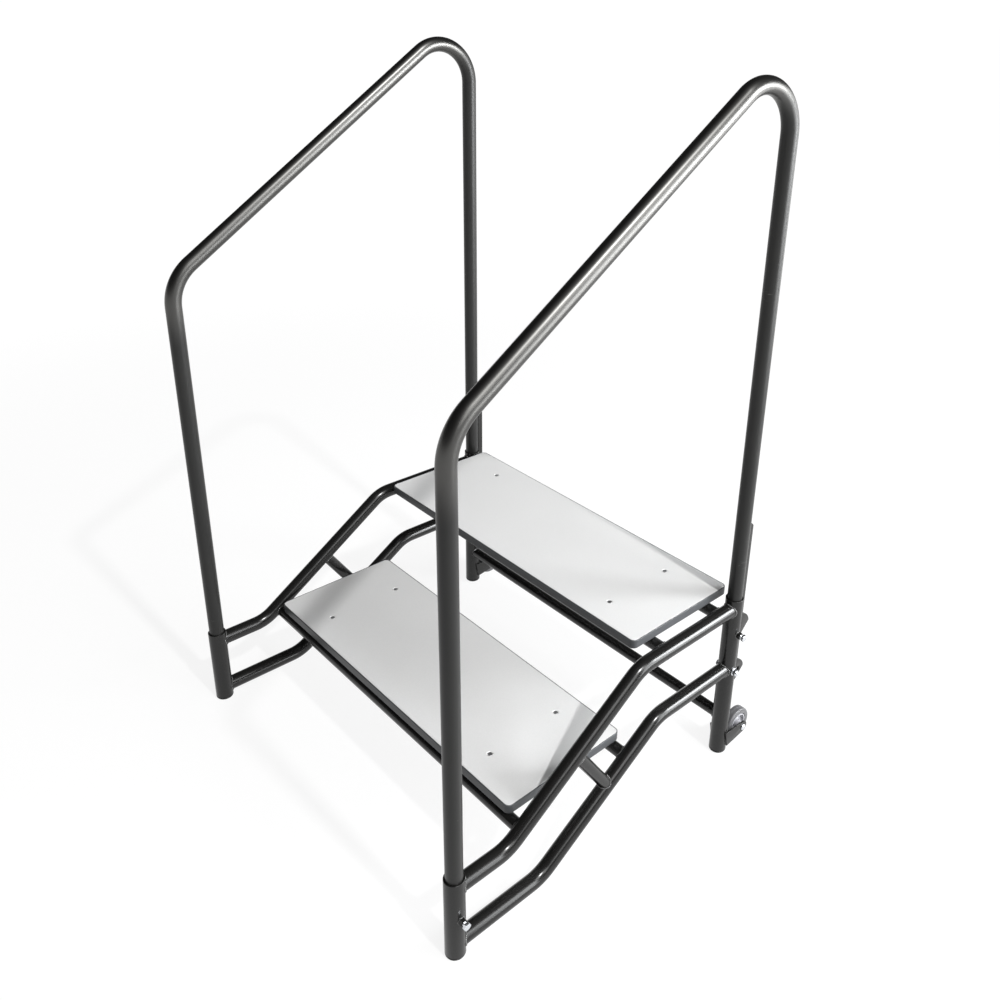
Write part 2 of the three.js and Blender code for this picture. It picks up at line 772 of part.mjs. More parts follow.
// Assembly
function buildFrame() {
  const group = new THREE.Group();
  group.add(bothSides('front_leg', makeLeg(frontLegY, frontSocketTop, frontBolts), finishes.frame));
  group.add(bothSides('rear_leg', makeLeg(rearLegY, rearSocketTop, rearBolts), finishes.frame));
  group.add(bothSides('front_foot', makeFoot(frontLegY), finishes.foot));
  group.add(bothSides('rear_foot', makeFoot(rearLegY), finishes.foot));
  group.add(bothSides('upper_rail', makeSideRail(upperRail), finishes.frame));
  group.add(bothSides('lower_rail', makeSideRail(lowerRail), finishes.frame));
  group.add(bothSides('rail_brace', makeBrace(), finishes.frame));
  group.add(bothSides('hook_plate', makeHookPlate(), finishes.frame));
  const upperRailCutter = railClearance(upperRail);
  const lowerRailCutter = railClearance(lowerRail);
  const rearLegCutter = legClearance(rearLegY, rearSocketTop);
  const bars = [
    ['lower_tread_front_bar', lowerFrontBarY, lowerBarHeight, upperRailCutter, []],
    ['lower_tread_rear_bar', lowerRearBarY, lowerBarHeight, lowerRailCutter, []],
    ['upper_tread_front_bar', upperFrontBarY, upperBarHeight, upperRailCutter,
      crossbarScrewHoles(upperFrontBarY, upperBarHeight)],
    ['upper_tread_rear_bar', upperRearBarY, upperBarHeight, upperRailCutter,
      crossbarScrewHoles(upperRearBarY, upperBarHeight)],
    ['rear_leg_bar', rearLegY, rearBarHeight, rearLegCutter, []],
  ];
  bars.forEach(([name, y, height, cutter, holes]) => {
    group.add(piece(name, makeCrossbar(y, height, cutter, holes), finishes.frame));
  });
  group.add(bothSides('lower_tread_strap', makeStrap(), finishes.frame));
  return group;
}

function buildTread(name, frontY, top) {
  const group = new THREE.Group();
  group.add(piece(`${name}_tread_board`, makeBoard(frontY, top), finishes.board));
  group.add(piece(`${name}_tread_edge_band`, makeEdgeBand(frontY, top), finishes.band));
  const corners = ['front_left', 'front_right', 'rear_left', 'rear_right'];
  screwPlaces(frontY).forEach((place, index) => {
    const screw = piece(`${name}_tread_screw_${corners[index]}`, makeScrew(), finishes.zinc);
    screw.position.set(place.x, place.y, top);
    group.add(screw);
  });
  return group;
}

function buildHandrails() {
  const group = new THREE.Group();
  group.add(bothSides('handrail', makeHandrail(), finishes.handrail));
  const places = [
    ['front_handrail', frontLegY, frontBolts[0]],
    ['rear_handrail_upper', rearLegY, rearBolts[0]],
    ['rear_handrail_lower', rearLegY, rearBolts[1]],
  ];
  places.forEach(([name, y, { height, through }]) => {
    const bolt = through ? makeThroughBolt() : makeSetBolt();
    const nut = through ? makeDomeNut() : makeSetNut();
    group.add(bothSides(`${name}_bolt`, bolt.translate(halfWidth, y, height), finishes.zinc));
    const nutFinish = through ? finishes.zinc : finishes.frame;
    group.add(bothSides(`${name}_nut`, nut.translate(halfWidth, y, height), nutFinish));
  });
  return group;
}

function buildWheels() {
  const group = new THREE.Group();
  const cheekOffset = cheekInnerOffset + cheekThickness / 2;
  group.add(bothSides('wheel_outer_cheek', makeCheek(cheekOffset), finishes.frame));
  group.add(bothSides('wheel_inner_cheek', makeCheek(-cheekOffset), finishes.frame));
  const round = [
    ['wheel_tyre', makeTyre(), finishes.tyre],
    ['wheel_hub', makeHub(), finishes.hub],
    ['wheel_axle', makeAxle(), finishes.zinc],
  ];
  round.forEach(([name, geometry, finish]) => {
    const placed = geometry.rotateY(Math.PI / 2).translate(halfWidth, axleY, axleHeight);
    group.add(bothSides(name, placed, finish));
  });
  return group;
}

const stairs = new THREE.Group();
stairs.add(buildFrame());
stairs.add(buildTread('lower', lowerTreadFrontY, lowerTreadHeight));
stairs.add(buildTread('upper', upperTreadFrontY, upperTreadHeight));
stairs.add(buildHandrails());
stairs.add(buildWheels());

// The origin goes to the middle of the outline, at floor level
const outline = new THREE.Box3().setFromObject(stairs);
const middle = outline.getCenter(new THREE.Vector3());
stairs.position.set(-middle.x, -middle.y, -outline.min.z);

export default stairs;
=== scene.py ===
"""Dresses the CAD frame of a two-step stage stair and lights it in a plain studio.

Every piece is made in metres in the CAD's own frame: +X is the climber's right, +Y the way up
the stairs and +Z up, with the floor at zero.
"""

import logging
import math
from dataclasses import dataclass, field
from enum import Enum
from typing import Iterable, Protocol, Sequence

import bmesh
import bpy
from mathutils import Matrix, Vector


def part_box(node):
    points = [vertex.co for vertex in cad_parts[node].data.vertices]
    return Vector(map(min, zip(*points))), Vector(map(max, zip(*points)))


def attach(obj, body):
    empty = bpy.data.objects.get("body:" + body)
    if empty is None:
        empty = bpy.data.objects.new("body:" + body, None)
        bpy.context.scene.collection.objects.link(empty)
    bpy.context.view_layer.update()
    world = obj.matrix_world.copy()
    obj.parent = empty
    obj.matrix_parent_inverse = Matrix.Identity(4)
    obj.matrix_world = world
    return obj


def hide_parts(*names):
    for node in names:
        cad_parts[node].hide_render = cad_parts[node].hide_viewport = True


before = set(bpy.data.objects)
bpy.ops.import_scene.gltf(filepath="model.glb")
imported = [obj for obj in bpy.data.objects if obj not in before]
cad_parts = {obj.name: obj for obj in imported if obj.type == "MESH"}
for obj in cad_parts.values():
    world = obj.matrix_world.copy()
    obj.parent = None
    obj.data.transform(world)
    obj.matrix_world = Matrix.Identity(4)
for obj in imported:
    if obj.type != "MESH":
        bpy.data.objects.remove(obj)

log = logging.getLogger("stage_stairs")

MILLIMETRE = 0.001
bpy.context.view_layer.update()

Color = tuple[float, float, float]
FlatPoint = tuple[float, float]

TO_THE_RIGHT = Vector((1, 0, 0))
UP_THE_STAIRS = Vector((0, 1, 0))
UPRIGHT = Vector((0, 0, 1))

# Facets of round work
TUBE_SIDES = 48
SMALL_SIDES = 32
WHEEL_SIDES = 96
HOLE_SIDES = 24
BEAD_SIDES = 10
BEND_STEP = math.radians(3)
ARC_STEPS = 8
RIM_STEPS = 4
EDGE_RINGS = 2
SMOOTH_ANGLE = math.radians(32)

# Clearance that keeps a dressed surface off its neighbour
SEAT_GAP = 0.3 * MILLIMETRE

# Points nearer to each other than this are one
MERGE_DISTANCE = 0.001 * MILLIMETRE
POLE_MERGE_DISTANCE = 0.0005 * MILLIMETRE

# How far from a tube's end plane a vertex may lie and still belong to the end
END_TOLERANCE = 0.01 * MILLIMETRE

# Seed of the loose turn that each fastener gets
TURN_SEED = 4


class Side(Enum):
    """The two mirrored halves of the stairs, with the sign of X on each."""

    RIGHT = 1
    LEFT = -1

    @property
    def word(self) -> str:
        """The side's name as the CAD nodes spell it."""
        return self.name.lower()


class RailKind(Enum):
    """The two side rails of each flank."""

    UPPER = "upper"
    LOWER = "lower"


# Shader node helpers


def add_node(tree: bpy.types.NodeTree, kind: str, **settings: object) -> bpy.types.Node:
    """Adds a node and sets its plain properties.

    Args:
        tree: The node tree that gets the node.
        kind: The node's type name.
        settings: Properties to set on the node.

    Returns:
        The new node.
    """
    node = tree.nodes.new(kind)
    for name, value in settings.items():
        setattr(node, name, value)
    return node


def new_group(
    name: str, kind: str, inputs: dict[str, tuple[str, object]], outputs: dict[str, str]
) -> tuple[bpy.types.NodeTree, bpy.types.Node, bpy.types.Node]:
    """Starts a node group with named sockets.

    Args:
        name: The group's name.
        kind: ShaderNodeTree or GeometryNodeTree.
        inputs: Socket name to socket type and default, where None leaves the default alone.
        outputs: Socket name to socket type.

    Returns:
        The tree, its Group Input node and its Group Output node.
    """
    tree = bpy.data.node_groups.new(name, kind)
    for socket_name, (socket_type, default) in inputs.items():
        socket = tree.interface.new_socket(name=socket_name, in_out="INPUT", socket_type=socket_type)
        if default is not None:
            socket.default_value = default
    for socket_name, socket_type in outputs.items():
        tree.interface.new_socket(name=socket_name, in_out="OUTPUT", socket_type=socket_type)
    return tree, tree.nodes.new("NodeGroupInput"), tree.nodes.new("NodeGroupOutput")


def math_node(
    tree: bpy.types.NodeTree, operation: str, first: object, second: object
) -> bpy.types.NodeSocket:
    """Adds a Math node whose operands are sockets or numbers.

    Args:
        tree: The tree to add to.
        operation: The Math node's operation.
        first: The first operand.
        second: The second operand.

    Returns:
        The node's output socket.
    """
    node = add_node(tree, "ShaderNodeMath", operation=operation)
    for index, operand in enumerate((first, second)):
        if isinstance(operand, bpy.types.NodeSocket):
            tree.links.new(operand, node.inputs[index])
        else:
            node.inputs[index].default_value = operand
    return node.outputs[0]


@dataclass
class SurfaceGroups:
    """The shader node groups that several finishes share, each built once."""

    mottle_detail: float = 3.0
    patch_detail: float = 2.0
    scratch_detail: float = 4.0
    scratch_turn: tuple[float, float, float] = (0.5, 0.3, 0.7)
    scratch_squeeze: tuple[float, float, float] = (1.0, 1.0, 9.0)
    scratch_level: float = 0.62
    scratch_contrast: float = 14.0

    def __post_init__(self) -> None:
        """Builds both groups."""
        self.mottle = self._build_mottle()
        self.scuffs = self._build_scuffs()

    def _build_mottle(self) -> bpy.types.NodeTree:
        """Fine grain over slow clouds, as a tone near one, the grain's height and the clouds alone.

        Returns:
            The node group.
        """
        tree, inward, outward = new_group(
            "mottle",
            "ShaderNodeTree",
            {
                "Vector": ("NodeSocketVector", None),
                "Grain Scale": ("NodeSocketFloat", 900.0),
                "Cloud Scale": ("NodeSocketFloat", 9.0),
                "Grain Depth": ("NodeSocketFloat", 0.06),
                "Cloud Depth": ("NodeSocketFloat", 0.05),
            },
            {"Tone": "NodeSocketFloat", "Height": "NodeSocketFloat", "Cloud": "NodeSocketFloat"},
        )
        spread = []
        for scale, depth in (("Grain Scale", "Grain Depth"), ("Cloud Scale", "Cloud Depth")):
            noise = add_node(tree, "ShaderNodeTexNoise")
            noise.inputs["Detail"].default_value = self.mottle_detail
            tree.links.new(inward.outputs["Vector"], noise.inputs["Vector"])
            tree.links.new(inward.outputs[scale], noise.inputs["Scale"])
            centred = math_node(tree, "SUBTRACT", noise.outputs["Fac"], 0.5)
            spread.append((noise, math_node(tree, "MULTIPLY", centred, inward.outputs[depth])))
        total = math_node(tree, "ADD", spread[0][1], spread[1][1])
        doubled = math_node(tree, "MULTIPLY", total, 2.0)
        tone = math_node(tree, "ADD", doubled, 1.0)
        tree.links.new(tone, outward.inputs["Tone"])
        tree.links.new(spread[0][0].outputs["Fac"], outward.inputs["Height"])
        tree.links.new(spread[1][0].outputs["Fac"], outward.inputs["Cloud"])
        return tree

    def _build_scuffs(self) -> bpy.types.NodeTree:
        """Sparse short scratches, as a mask from zero to one.

        Returns:
            The node group.
        """
        tree, inward, outward = new_group(
            "scuffs",
            "ShaderNodeTree",
            {
                "Vector": ("NodeSocketVector", None),
                "Patch Scale": ("NodeSocketFloat", 7.0),
                "Scratch Scale": ("NodeSocketFloat", 60.0),
                "Patch Cover": ("NodeSocketFloat", 0.66),
                "Strength": ("NodeSocketFloat", 0.5),
            },
            {"Mask": "NodeSocketFloat"},
        )
        patches = add_node(tree, "ShaderNodeTexNoise")
        patches.inputs["Detail"].default_value = self.patch_detail
        tree.links.new(inward.outputs["Vector"], patches.inputs["Vector"])
        tree.links.new(inward.outputs["Patch Scale"], patches.inputs["Scale"])
        slanted = add_node(tree, "ShaderNodeMapping")
        slanted.inputs["Rotation"].default_value = self.scratch_turn
        slanted.inputs["Scale"].default_value = self.scratch_squeeze
        tree.links.new(inward.outputs["Vector"], slanted.inputs["Vector"])
        scratches = add_node(tree, "ShaderNodeTexNoise")
        scratches.inputs["Detail"].default_value = self.scratch_detail
        tree.links.new(slanted.outputs["Vector"], scratches.inputs["Vector"])
        tree.links.new(inward.outputs["Scratch Scale"], scratches.inputs["Scale"])
        patch = math_node(tree, "GREATER_THAN", patches.outputs["Fac"], inward.outputs["Patch Cover"])
        line = math_node(tree, "SUBTRACT", scratches.outputs["Fac"], self.scratch_level)
        sharp = math_node(tree, "MULTIPLY", line, self.scratch_contrast)
        clamped = math_node(tree, "MAXIMUM", sharp, 0.0)
        limited = math_node(tree, "MINIMUM", clamped, 1.0)
        both = math_node(tree, "MULTIPLY", patch, limited)
        mask = math_node(tree, "MULTIPLY", both, inward.outputs["Strength"])
        tree.links.new(mask, outward.inputs["Mask"])
        return tree


def mixed_color(
    tree: bpy.types.NodeTree, mask: bpy.types.NodeSocket, under: bpy.types.NodeSocket, over: Color
) -> bpy.types.NodeSocket:
    """Lays a plain colour over another where a mask says.

    Args:
        tree: The material's tree.
        mask: The mask's socket.
        under: The colour below.
        over: The colour laid on top.

    Returns:
        The mixed colour's socket.
    """
    mix = add_node(tree, "ShaderNodeMix", data_type="RGBA")
    color_inputs = [socket for socket in mix.inputs if socket.type == "RGBA"]
    color_outputs = [socket for socket in mix.outputs if socket.type == "RGBA"]
    color_inputs[1].default_value = (*over, 1.0)
    tree.links.new(mask, mix.inputs["Factor"])
    tree.links.new(under, color_inputs[0])
    return color_outputs[0]


@dataclass(frozen=True)
class HandPolish:
    """The part of a handrail from just below a slanting plane up, given a painted sheen: a paler,
    metal-like coat so that its highlights come out brighter than the posts'.
    """

    color: Color
    slope_point: tuple[float, float, float]
    slope_normal: tuple[float, float, float]
    fade_from: float = -110.0 * MILLIMETRE
    fade_to: float = -30.0 * MILLIMETRE

    def mask(self, tree: bpy.types.NodeTree, coordinates: bpy.types.NodeSocket) -> bpy.types.NodeSocket:
        """Builds the mask of the part with the painted sheen.

        Args:
            tree: The material's tree.
            coordinates: The object coordinates' socket.

        Returns:
            The mask's socket, from zero to one.
        """
        offset = add_node(tree, "ShaderNodeVectorMath", operation="SUBTRACT")
        offset.inputs[1].default_value = self.slope_point
        height = add_node(tree, "ShaderNodeVectorMath", operation="DOT_PRODUCT")
        height.inputs[1].default_value = self.slope_normal
        fade = add_node(tree, "ShaderNodeMapRange", interpolation_type="SMOOTHSTEP")
        fade.inputs["From Min"].default_value = self.fade_from
        fade.inputs["From Max"].default_value = self.fade_to
        tree.links.new(coordinates, offset.inputs[0])
        tree.links.new(offset.outputs["Vector"], height.inputs[0])
        tree.links.new(height.outputs["Value"], fade.inputs["Value"])
        return fade.outputs["Result"]


@dataclass(frozen=True)
class Finish:
    """A surface finish: colours, gloss and how much its grain, clouds and scuffs show."""

    name: str
    slot: str
    color: Color
    scuff_color: Color = (0.3, 0.3, 0.3)
    roughness: float = 0.4
    roughness_spread: float = 0.08
    metallic: float = 0.0
    specular: float = 0.5
    grain_scale: float = 900.0
    cloud_scale: float = 9.0
    grain_depth: float = 0.05
    cloud_depth: float = 0.05
    scuff_strength: float = 0.0
    bump: float = 0.05
    bump_distance: float = 0.1 * MILLIMETRE
    polish: HandPolish | None = None

    def material(self, groups: SurfaceGroups) -> bpy.types.Material:
        """Builds the finish as a node material.

        Args:
            groups: The shared node groups.

        Returns:
            The new material.
        """
        material = bpy.data.materials.new(self.name)
        material.use_nodes = True
        material.diffuse_color = (*self.color, 1.0)
        tree = material.node_tree
        shader = tree.nodes["Principled BSDF"]
        shader.inputs["Metallic"].default_value = self.metallic
        shader.inputs["Specular IOR Level"].default_value = self.specular
        coordinates = add_node(tree, "ShaderNodeTexCoord").outputs["Object"]
        mottle = add_node(tree, "ShaderNodeGroup", node_tree=groups.mottle)
        mottle.inputs["Grain Scale"].default_value = self.grain_scale
        mottle.inputs["Cloud Scale"].default_value = self.cloud_scale
        mottle.inputs["Grain Depth"].default_value = self.grain_depth
        mottle.inputs["Cloud Depth"].default_value = self.cloud_depth
        tree.links.new(coordinates, mottle.inputs["Vector"])
        toned = add_node(tree, "ShaderNodeVectorMath", operation="SCALE")
        toned.inputs[0].default_value = self.color
        tree.links.new(mottle.outputs["Tone"], toned.inputs["Scale"])
        color_output = toned.outputs["Vector"]
        # Painted sheen: above the slanting plane the coat turns paler and metal-like, which brightens
        # the sloping part's highlights.
        if self.polish:
            sheen_mask = self.polish.mask(tree, coordinates)
            color_output = mixed_color(tree, sheen_mask, color_output, self.polish.color)
            tree.links.new(sheen_mask, shader.inputs["Metallic"])
        if self.scuff_strength:
            scuffs = add_node(tree, "ShaderNodeGroup", node_tree=groups.scuffs)
            scuffs.inputs["Strength"].default_value = self.scuff_strength
            tree.links.new(coordinates, scuffs.inputs["Vector"])
            color_output = mixed_color(tree, scuffs.outputs["Mask"], color_output, self.scuff_color)
        tree.links.new(color_output, shader.inputs["Base Color"])
        spread = math_node(tree, "MULTIPLY", mottle.outputs["Cloud"], self.roughness_spread)
        rough = math_node(tree, "ADD", spread, self.roughness - self.roughness_spread / 2)
        tree.links.new(rough, shader.inputs["Roughness"])
        if self.bump:
            bump = add_node(tree, "ShaderNodeBump")
            bump.inputs["Strength"].default_value = self.bump
            bump.inputs["Distance"].default_value = self.bump_distance
            tree.links.new(mottle.outputs["Height"], bump.inputs["Height"])
            tree.links.new(bump.outputs["Normal"], shader.inputs["Normal"])
        return material


FRAME_COAT = Finish(
    name="frame_coat", slot="frame_coat", color=(0.0085, 0.0084, 0.008), roughness=0.21,
    roughness_spread=0.04, specular=0.40, grain_scale=1300.0, cloud_scale=14.0, grain_depth=0.06,
    cloud_depth=0.12, scuff_color=(0.12, 0.12, 0.115), scuff_strength=0.25, bump=0.0,
)
# The handrail coat, with a painted sheen on its sloping part that brightens the highlights there.
HANDRAIL_COAT = Finish(
    name="handrail_coat", slot="handrail_coat", color=(0.014, 0.014, 0.0135), roughness=0.34,
    roughness_spread=0.05, specular=0.28, grain_scale=1300.0, cloud_scale=11.0, grain_depth=0.06,
    cloud_depth=0.14, scuff_color=(0.16, 0.16, 0.155), scuff_strength=0.4, bump=0.0,
    polish=HandPolish(
        color=(0.085, 0.084, 0.081), slope_point=(0.0, -0.404, 1.007),
        slope_normal=(0.0, -0.571, 0.821),
    ),
)
# Paler than the frame coat that it stands for: the beads' lighter tone is a painted highlight.
WELD_COAT = Finish(
    name="weld_coat", slot="frame_coat", color=(0.045, 0.045, 0.044), roughness=0.22,
    specular=0.8, grain_scale=700.0, cloud_scale=40.0, grain_depth=0.10, cloud_depth=0.10, bump=0.06,
)
BOARD = Finish(
    name="board_laminate", slot="tread_board", color=(0.63, 0.63, 0.626), roughness=0.42,
    scuff_color=(0.52, 0.52, 0.53), scuff_strength=0.12, specular=0.4,
    grain_scale=420.0, cloud_scale=5.0, grain_depth=0.05, cloud_depth=0.035, bump=0.06,
)
BOARD_CORE = Finish(
    name="board_core", slot="tread_board", color=(0.86, 0.86, 0.85), roughness=0.5,
    specular=0.3, grain_scale=600.0, cloud_scale=60.0, grain_depth=0.04, cloud_depth=0.03, bump=0.05,
)
EDGE_BAND = Finish(
    name="edge_band", slot="edge_band", color=(0.070, 0.073, 0.077), roughness=0.36,
    specular=0.26, grain_scale=500.0, cloud_scale=12.0, grain_depth=0.05, cloud_depth=0.08, bump=0.05,
)
ZINC = Finish(
    name="zinc_plate", slot="zinc_steel", color=(0.72, 0.74, 0.77), roughness=0.27, metallic=1.0,
    grain_scale=1500.0, cloud_scale=90.0, grain_depth=0.06, cloud_depth=0.08, bump=0.08,
)
SCREW_STEEL = Finish(
    name="screw_steel", slot="zinc_steel", color=(0.42, 0.42, 0.43), roughness=0.40, metallic=0.9,
    grain_scale=1500.0, cloud_scale=120.0, grain_depth=0.08, cloud_depth=0.10, bump=0.08,
)
FOOT_RUBBER = Finish(
    name="foot_rubber", slot="foot", color=(0.010, 0.010, 0.010), roughness=0.50,
    specular=0.35, grain_scale=600.0, cloud_scale=25.0, grain_depth=0.12, cloud_depth=0.12, bump=0.12,
)
TYRE_RUBBER = Finish(
    name="tyre_rubber", slot="tyre", color=(0.088, 0.088, 0.092), roughness=0.42,
    scuff_color=(0.05, 0.05, 0.05), scuff_strength=0.35, specular=0.45,
    grain_scale=800.0, cloud_scale=30.0, grain_depth=0.08, cloud_depth=0.10, bump=0.10,
)
HUB_PLASTIC = Finish(
    name="hub_plastic", slot="hub_plastic", color=(0.30, 0.30, 0.32), roughness=0.28,
    specular=0.5, grain_scale=700.0, cloud_scale=25.0, grain_depth=0.05, cloud_depth=0.06, bump=0.06,
)
ALL_FINISHES = (
    FRAME_COAT, HANDRAIL_COAT, WELD_COAT, BOARD, BOARD_CORE, EDGE_BAND, ZINC, SCREW_STEEL, FOOT_RUBBER,
    TYRE_RUBBER, HUB_PLASTIC,
)


# Mesh helpers


def link_mesh(name: str, vertices: Iterable, faces: Iterable) -> bpy.types.Object:
    """Makes a mesh object at the origin from vertices and faces.

    Args:
        name: The object's and mesh's name.
        vertices: Points in metres.
        faces: Tuples of vertex indices.

    Returns:
        The new object.
    """
    mesh = bpy.data.meshes.new(name)
    mesh.from_pydata([tuple(vertex) for vertex in vertices], [], [tuple(face) for face in faces])
    obj = bpy.data.objects.new(name, mesh)
    bpy.context.scene.collection.objects.link(obj)
    return obj


def link_path(name: str, points: Sequence[Vector], closed: bool = False) -> bpy.types.Object:
    """Makes a mesh of edges only, for a node tree to follow.

    Args:
        name: The object's name.
        points: The path's points.
        closed: Whether the last point joins the first.

    Returns:
        The new object.
    """
    mesh = bpy.data.meshes.new(name)
    edges = [(index, index + 1) for index in range(len(points) - 1)]
    if closed:
        edges.append((len(points) - 1, 0))
    mesh.from_pydata([tuple(point) for point in points], edges, [])
    obj = bpy.data.objects.new(name, mesh)
    bpy.context.scene.collection.objects.link(obj)
    return obj


def smooth(obj: bpy.types.Object, recalculate: bool = True) -> bpy.types.Object:
    """Merges doubles, turns the faces outwards and shades smooth up to an angle.

    Args:
        obj: The mesh object.
        recalculate: Whether to work the face directions out again.

    Returns:
        The same object.
    """
    work = bmesh.new()
    work.from_mesh(obj.data)
    bmesh.ops.remove_doubles(work, verts=work.verts, dist=MERGE_DISTANCE)
    if recalculate:
        bmesh.ops.recalc_face_normals(work, faces=work.faces)
    for face in work.faces:
        face.smooth = True
    work.to_mesh(obj.data)
    work.free()
    obj.data.set_sharp_from_angle(angle=SMOOTH_ANGLE)
    return obj


def bake_modifiers(carrier: bpy.types.Object, name: str) -> bpy.types.Object:
    """Turns a carrier with live modifiers into one plain mesh object and drops the carrier.

    Args:
        carrier: The object whose modifiers are to be applied.
        name: The finished object's name.

    Returns:
        The plain mesh object.
    """
    graph = bpy.context.evaluated_depsgraph_get()
    mesh = bpy.data.meshes.new_from_object(carrier.evaluated_get(graph))
    mesh.name = name
    bpy.data.objects.remove(carrier)
    obj = bpy.data.objects.new(name, mesh)
    bpy.context.scene.collection.objects.link(obj)
    return obj


def joined(name: str, pieces: Sequence[bpy.types.Object]) -> bpy.types.Object:
    """Joins pieces into one object.

    Args:
        name: The joined object's name.
        pieces: Mesh objects at the origin.

    Returns:
        The joined object.
    """
    work = bmesh.new()
    for piece in pieces:
        work.from_mesh(piece.data)
    for piece in pieces:
        bpy.data.objects.remove(piece)
    mesh = bpy.data.meshes.new(name)
    work.to_mesh(mesh)
    work.free()
    obj = bpy.data.objects.new(name, mesh)
    bpy.context.scene.collection.objects.link(obj)
    obj.data.set_sharp_from_angle(angle=SMOOTH_ANGLE)
    return obj


def cut(obj: bpy.types.Object, cutter: bpy.types.Object, name: str) -> bpy.types.Object:
    """Cuts one closed mesh out of another.

    Args:
        obj: The mesh that is cut.
        cutter: What is cut out, which is used up.
        name: The result's name.

    Returns:
        The result as a plain mesh.
    """
    modifier = obj.modifiers.new("cut", "BOOLEAN")
    modifier.operation = "DIFFERENCE"
    modifier.solver = "EXACT"
    modifier.object = cutter
    bpy.context.view_layer.update()
    result = bake_modifiers(obj, name)
    bpy.data.objects.remove(cutter)
    return result


def lofted(
    name: str, loops: Sequence[Sequence[tuple[float, float, float]]], closed: bool
) -> bpy.types.Object:
    """Joins loops of equal length into a skin.

    Args:
        name: The object's name.
        loops: The loops in order.
        closed: Whether the last loop joins the first, or both ends are capped.

    Returns:
        The object.
    """
    count = len(loops[0])
    vertices = [point for loop in loops for point in loop]
    faces = []
    spans = len(loops) if closed else len(loops) - 1
    for index in range(spans):
        here = index * count
        there = ((index + 1) % len(loops)) * count
        for step in range(count):
            after = (step + 1) % count
            faces.append((here + step, here + after, there + after, there + step))
    if not closed:
        faces.append(tuple(range(count)))
        faces.append(tuple(range((len(loops) - 1) * count, len(loops) * count)))
    return smooth(link_mesh(name, vertices, faces))


def turned(name: str, profile: Sequence[FlatPoint], sides: int) -> bpy.types.Object:
    """Turns a closed profile round Z.

    Args:
        name: The object's name.
        profile: Radius and height of each point. A profile off the axis closes on itself.
        sides: How many facets go round.

    Returns:
        The turned object.
    """
    on_axis = profile[0][0] == 0
    vertices = []
    for step in range(sides):
        angle = math.tau * step / sides
        vertices += [(r * math.cos(angle), r * math.sin(angle), height) for r, height in profile]
    count = len(profile)
    faces = []
    spans = count - 1 if on_axis else count
    for step in range(sides):
        here = step * count
        there = ((step + 1) % sides) * count
        for index in range(spans):
            after = (index + 1) % count
            faces.append((here + index, there + index, there + after, here + after))
    obj = link_mesh(name, vertices, faces)
    work = bmesh.new()
    work.from_mesh(obj.data)
    bmesh.ops.remove_doubles(work, verts=work.verts, dist=POLE_MERGE_DISTANCE)
    bmesh.ops.dissolve_degenerate(work, dist=POLE_MERGE_DISTANCE, edges=work.edges)
    work.to_mesh(obj.data)
    work.free()
    return smooth(obj)


def arc(
    centre: FlatPoint, radius: float, start: float, end: float, steps: int = ARC_STEPS
) -> list[FlatPoint]:
    """Points of a circular arc in a profile's plane.

    Args:
        centre: The arc's centre.
        radius: Its radius.
        start: The first point's angle in degrees.
        end: The last point's angle in degrees.
        steps: How many chords it has.

    Returns:
        The points, both ends included.
    """
    across, up = centre
    angles = [math.radians(start + (end - start) * step / steps) for step in range(steps + 1)]
    return [(across + radius * math.cos(angle), up + radius * math.sin(angle)) for angle in angles]


def round_hole(centre: FlatPoint, radius: float) -> list[FlatPoint]:
    """Points once round a circle, without the first point again at the end."""
    return arc(centre, radius, 0, 360 * (HOLE_SIDES - 1) / HOLE_SIDES, HOLE_SIDES - 1)


def place(obj: bpy.types.Object, matrix: Matrix) -> bpy.types.Object:
    """Moves or turns an object's mesh, and gives the same object back."""
    obj.data.transform(matrix)
    return obj


def plate(
    name: str, outline: Sequence[FlatPoint], hole: Sequence[FlatPoint], thickness: float, edge: float
) -> bpy.types.Object:
    """A flat plate with eased edges that stands in the plane of Y and Z, centred on X = 0.

    Args:
        name: The object's name.
        outline: Y and Z of the outline's points.
        hole: Y and Z of the hole's points.
        thickness: The plate's thickness along X.
        edge: The radius of the eased edges.

    Returns:
        The plate.
    """
    curve = bpy.data.curves.new(name, "CURVE")
    curve.dimensions = "2D"
    curve.fill_mode = "BOTH"
    curve.extrude = thickness / 2 - edge
    curve.bevel_depth = edge
    curve.bevel_resolution = EDGE_RINGS
    curve.offset = -edge
    for loop in (outline, hole):
        spline = curve.splines.new("POLY")
        spline.points.add(len(loop) - 1)
        for point, (along, up) in zip(spline.points, loop):
            point.co = (along, up, 0.0, 1.0)
        spline.use_cyclic_u = True
    carrier = bpy.data.objects.new(name, curve)
    bpy.context.scene.collection.objects.link(carrier)
    bpy.context.view_layer.update()
    obj = bake_modifiers(carrier, name)
    standing = Matrix(((0, 0, 1, 0), (1, 0, 0, 0), (0, 1, 0, 0), (0, 0, 0, 1)))
    return smooth(place(obj, standing))


# Geometry node trees


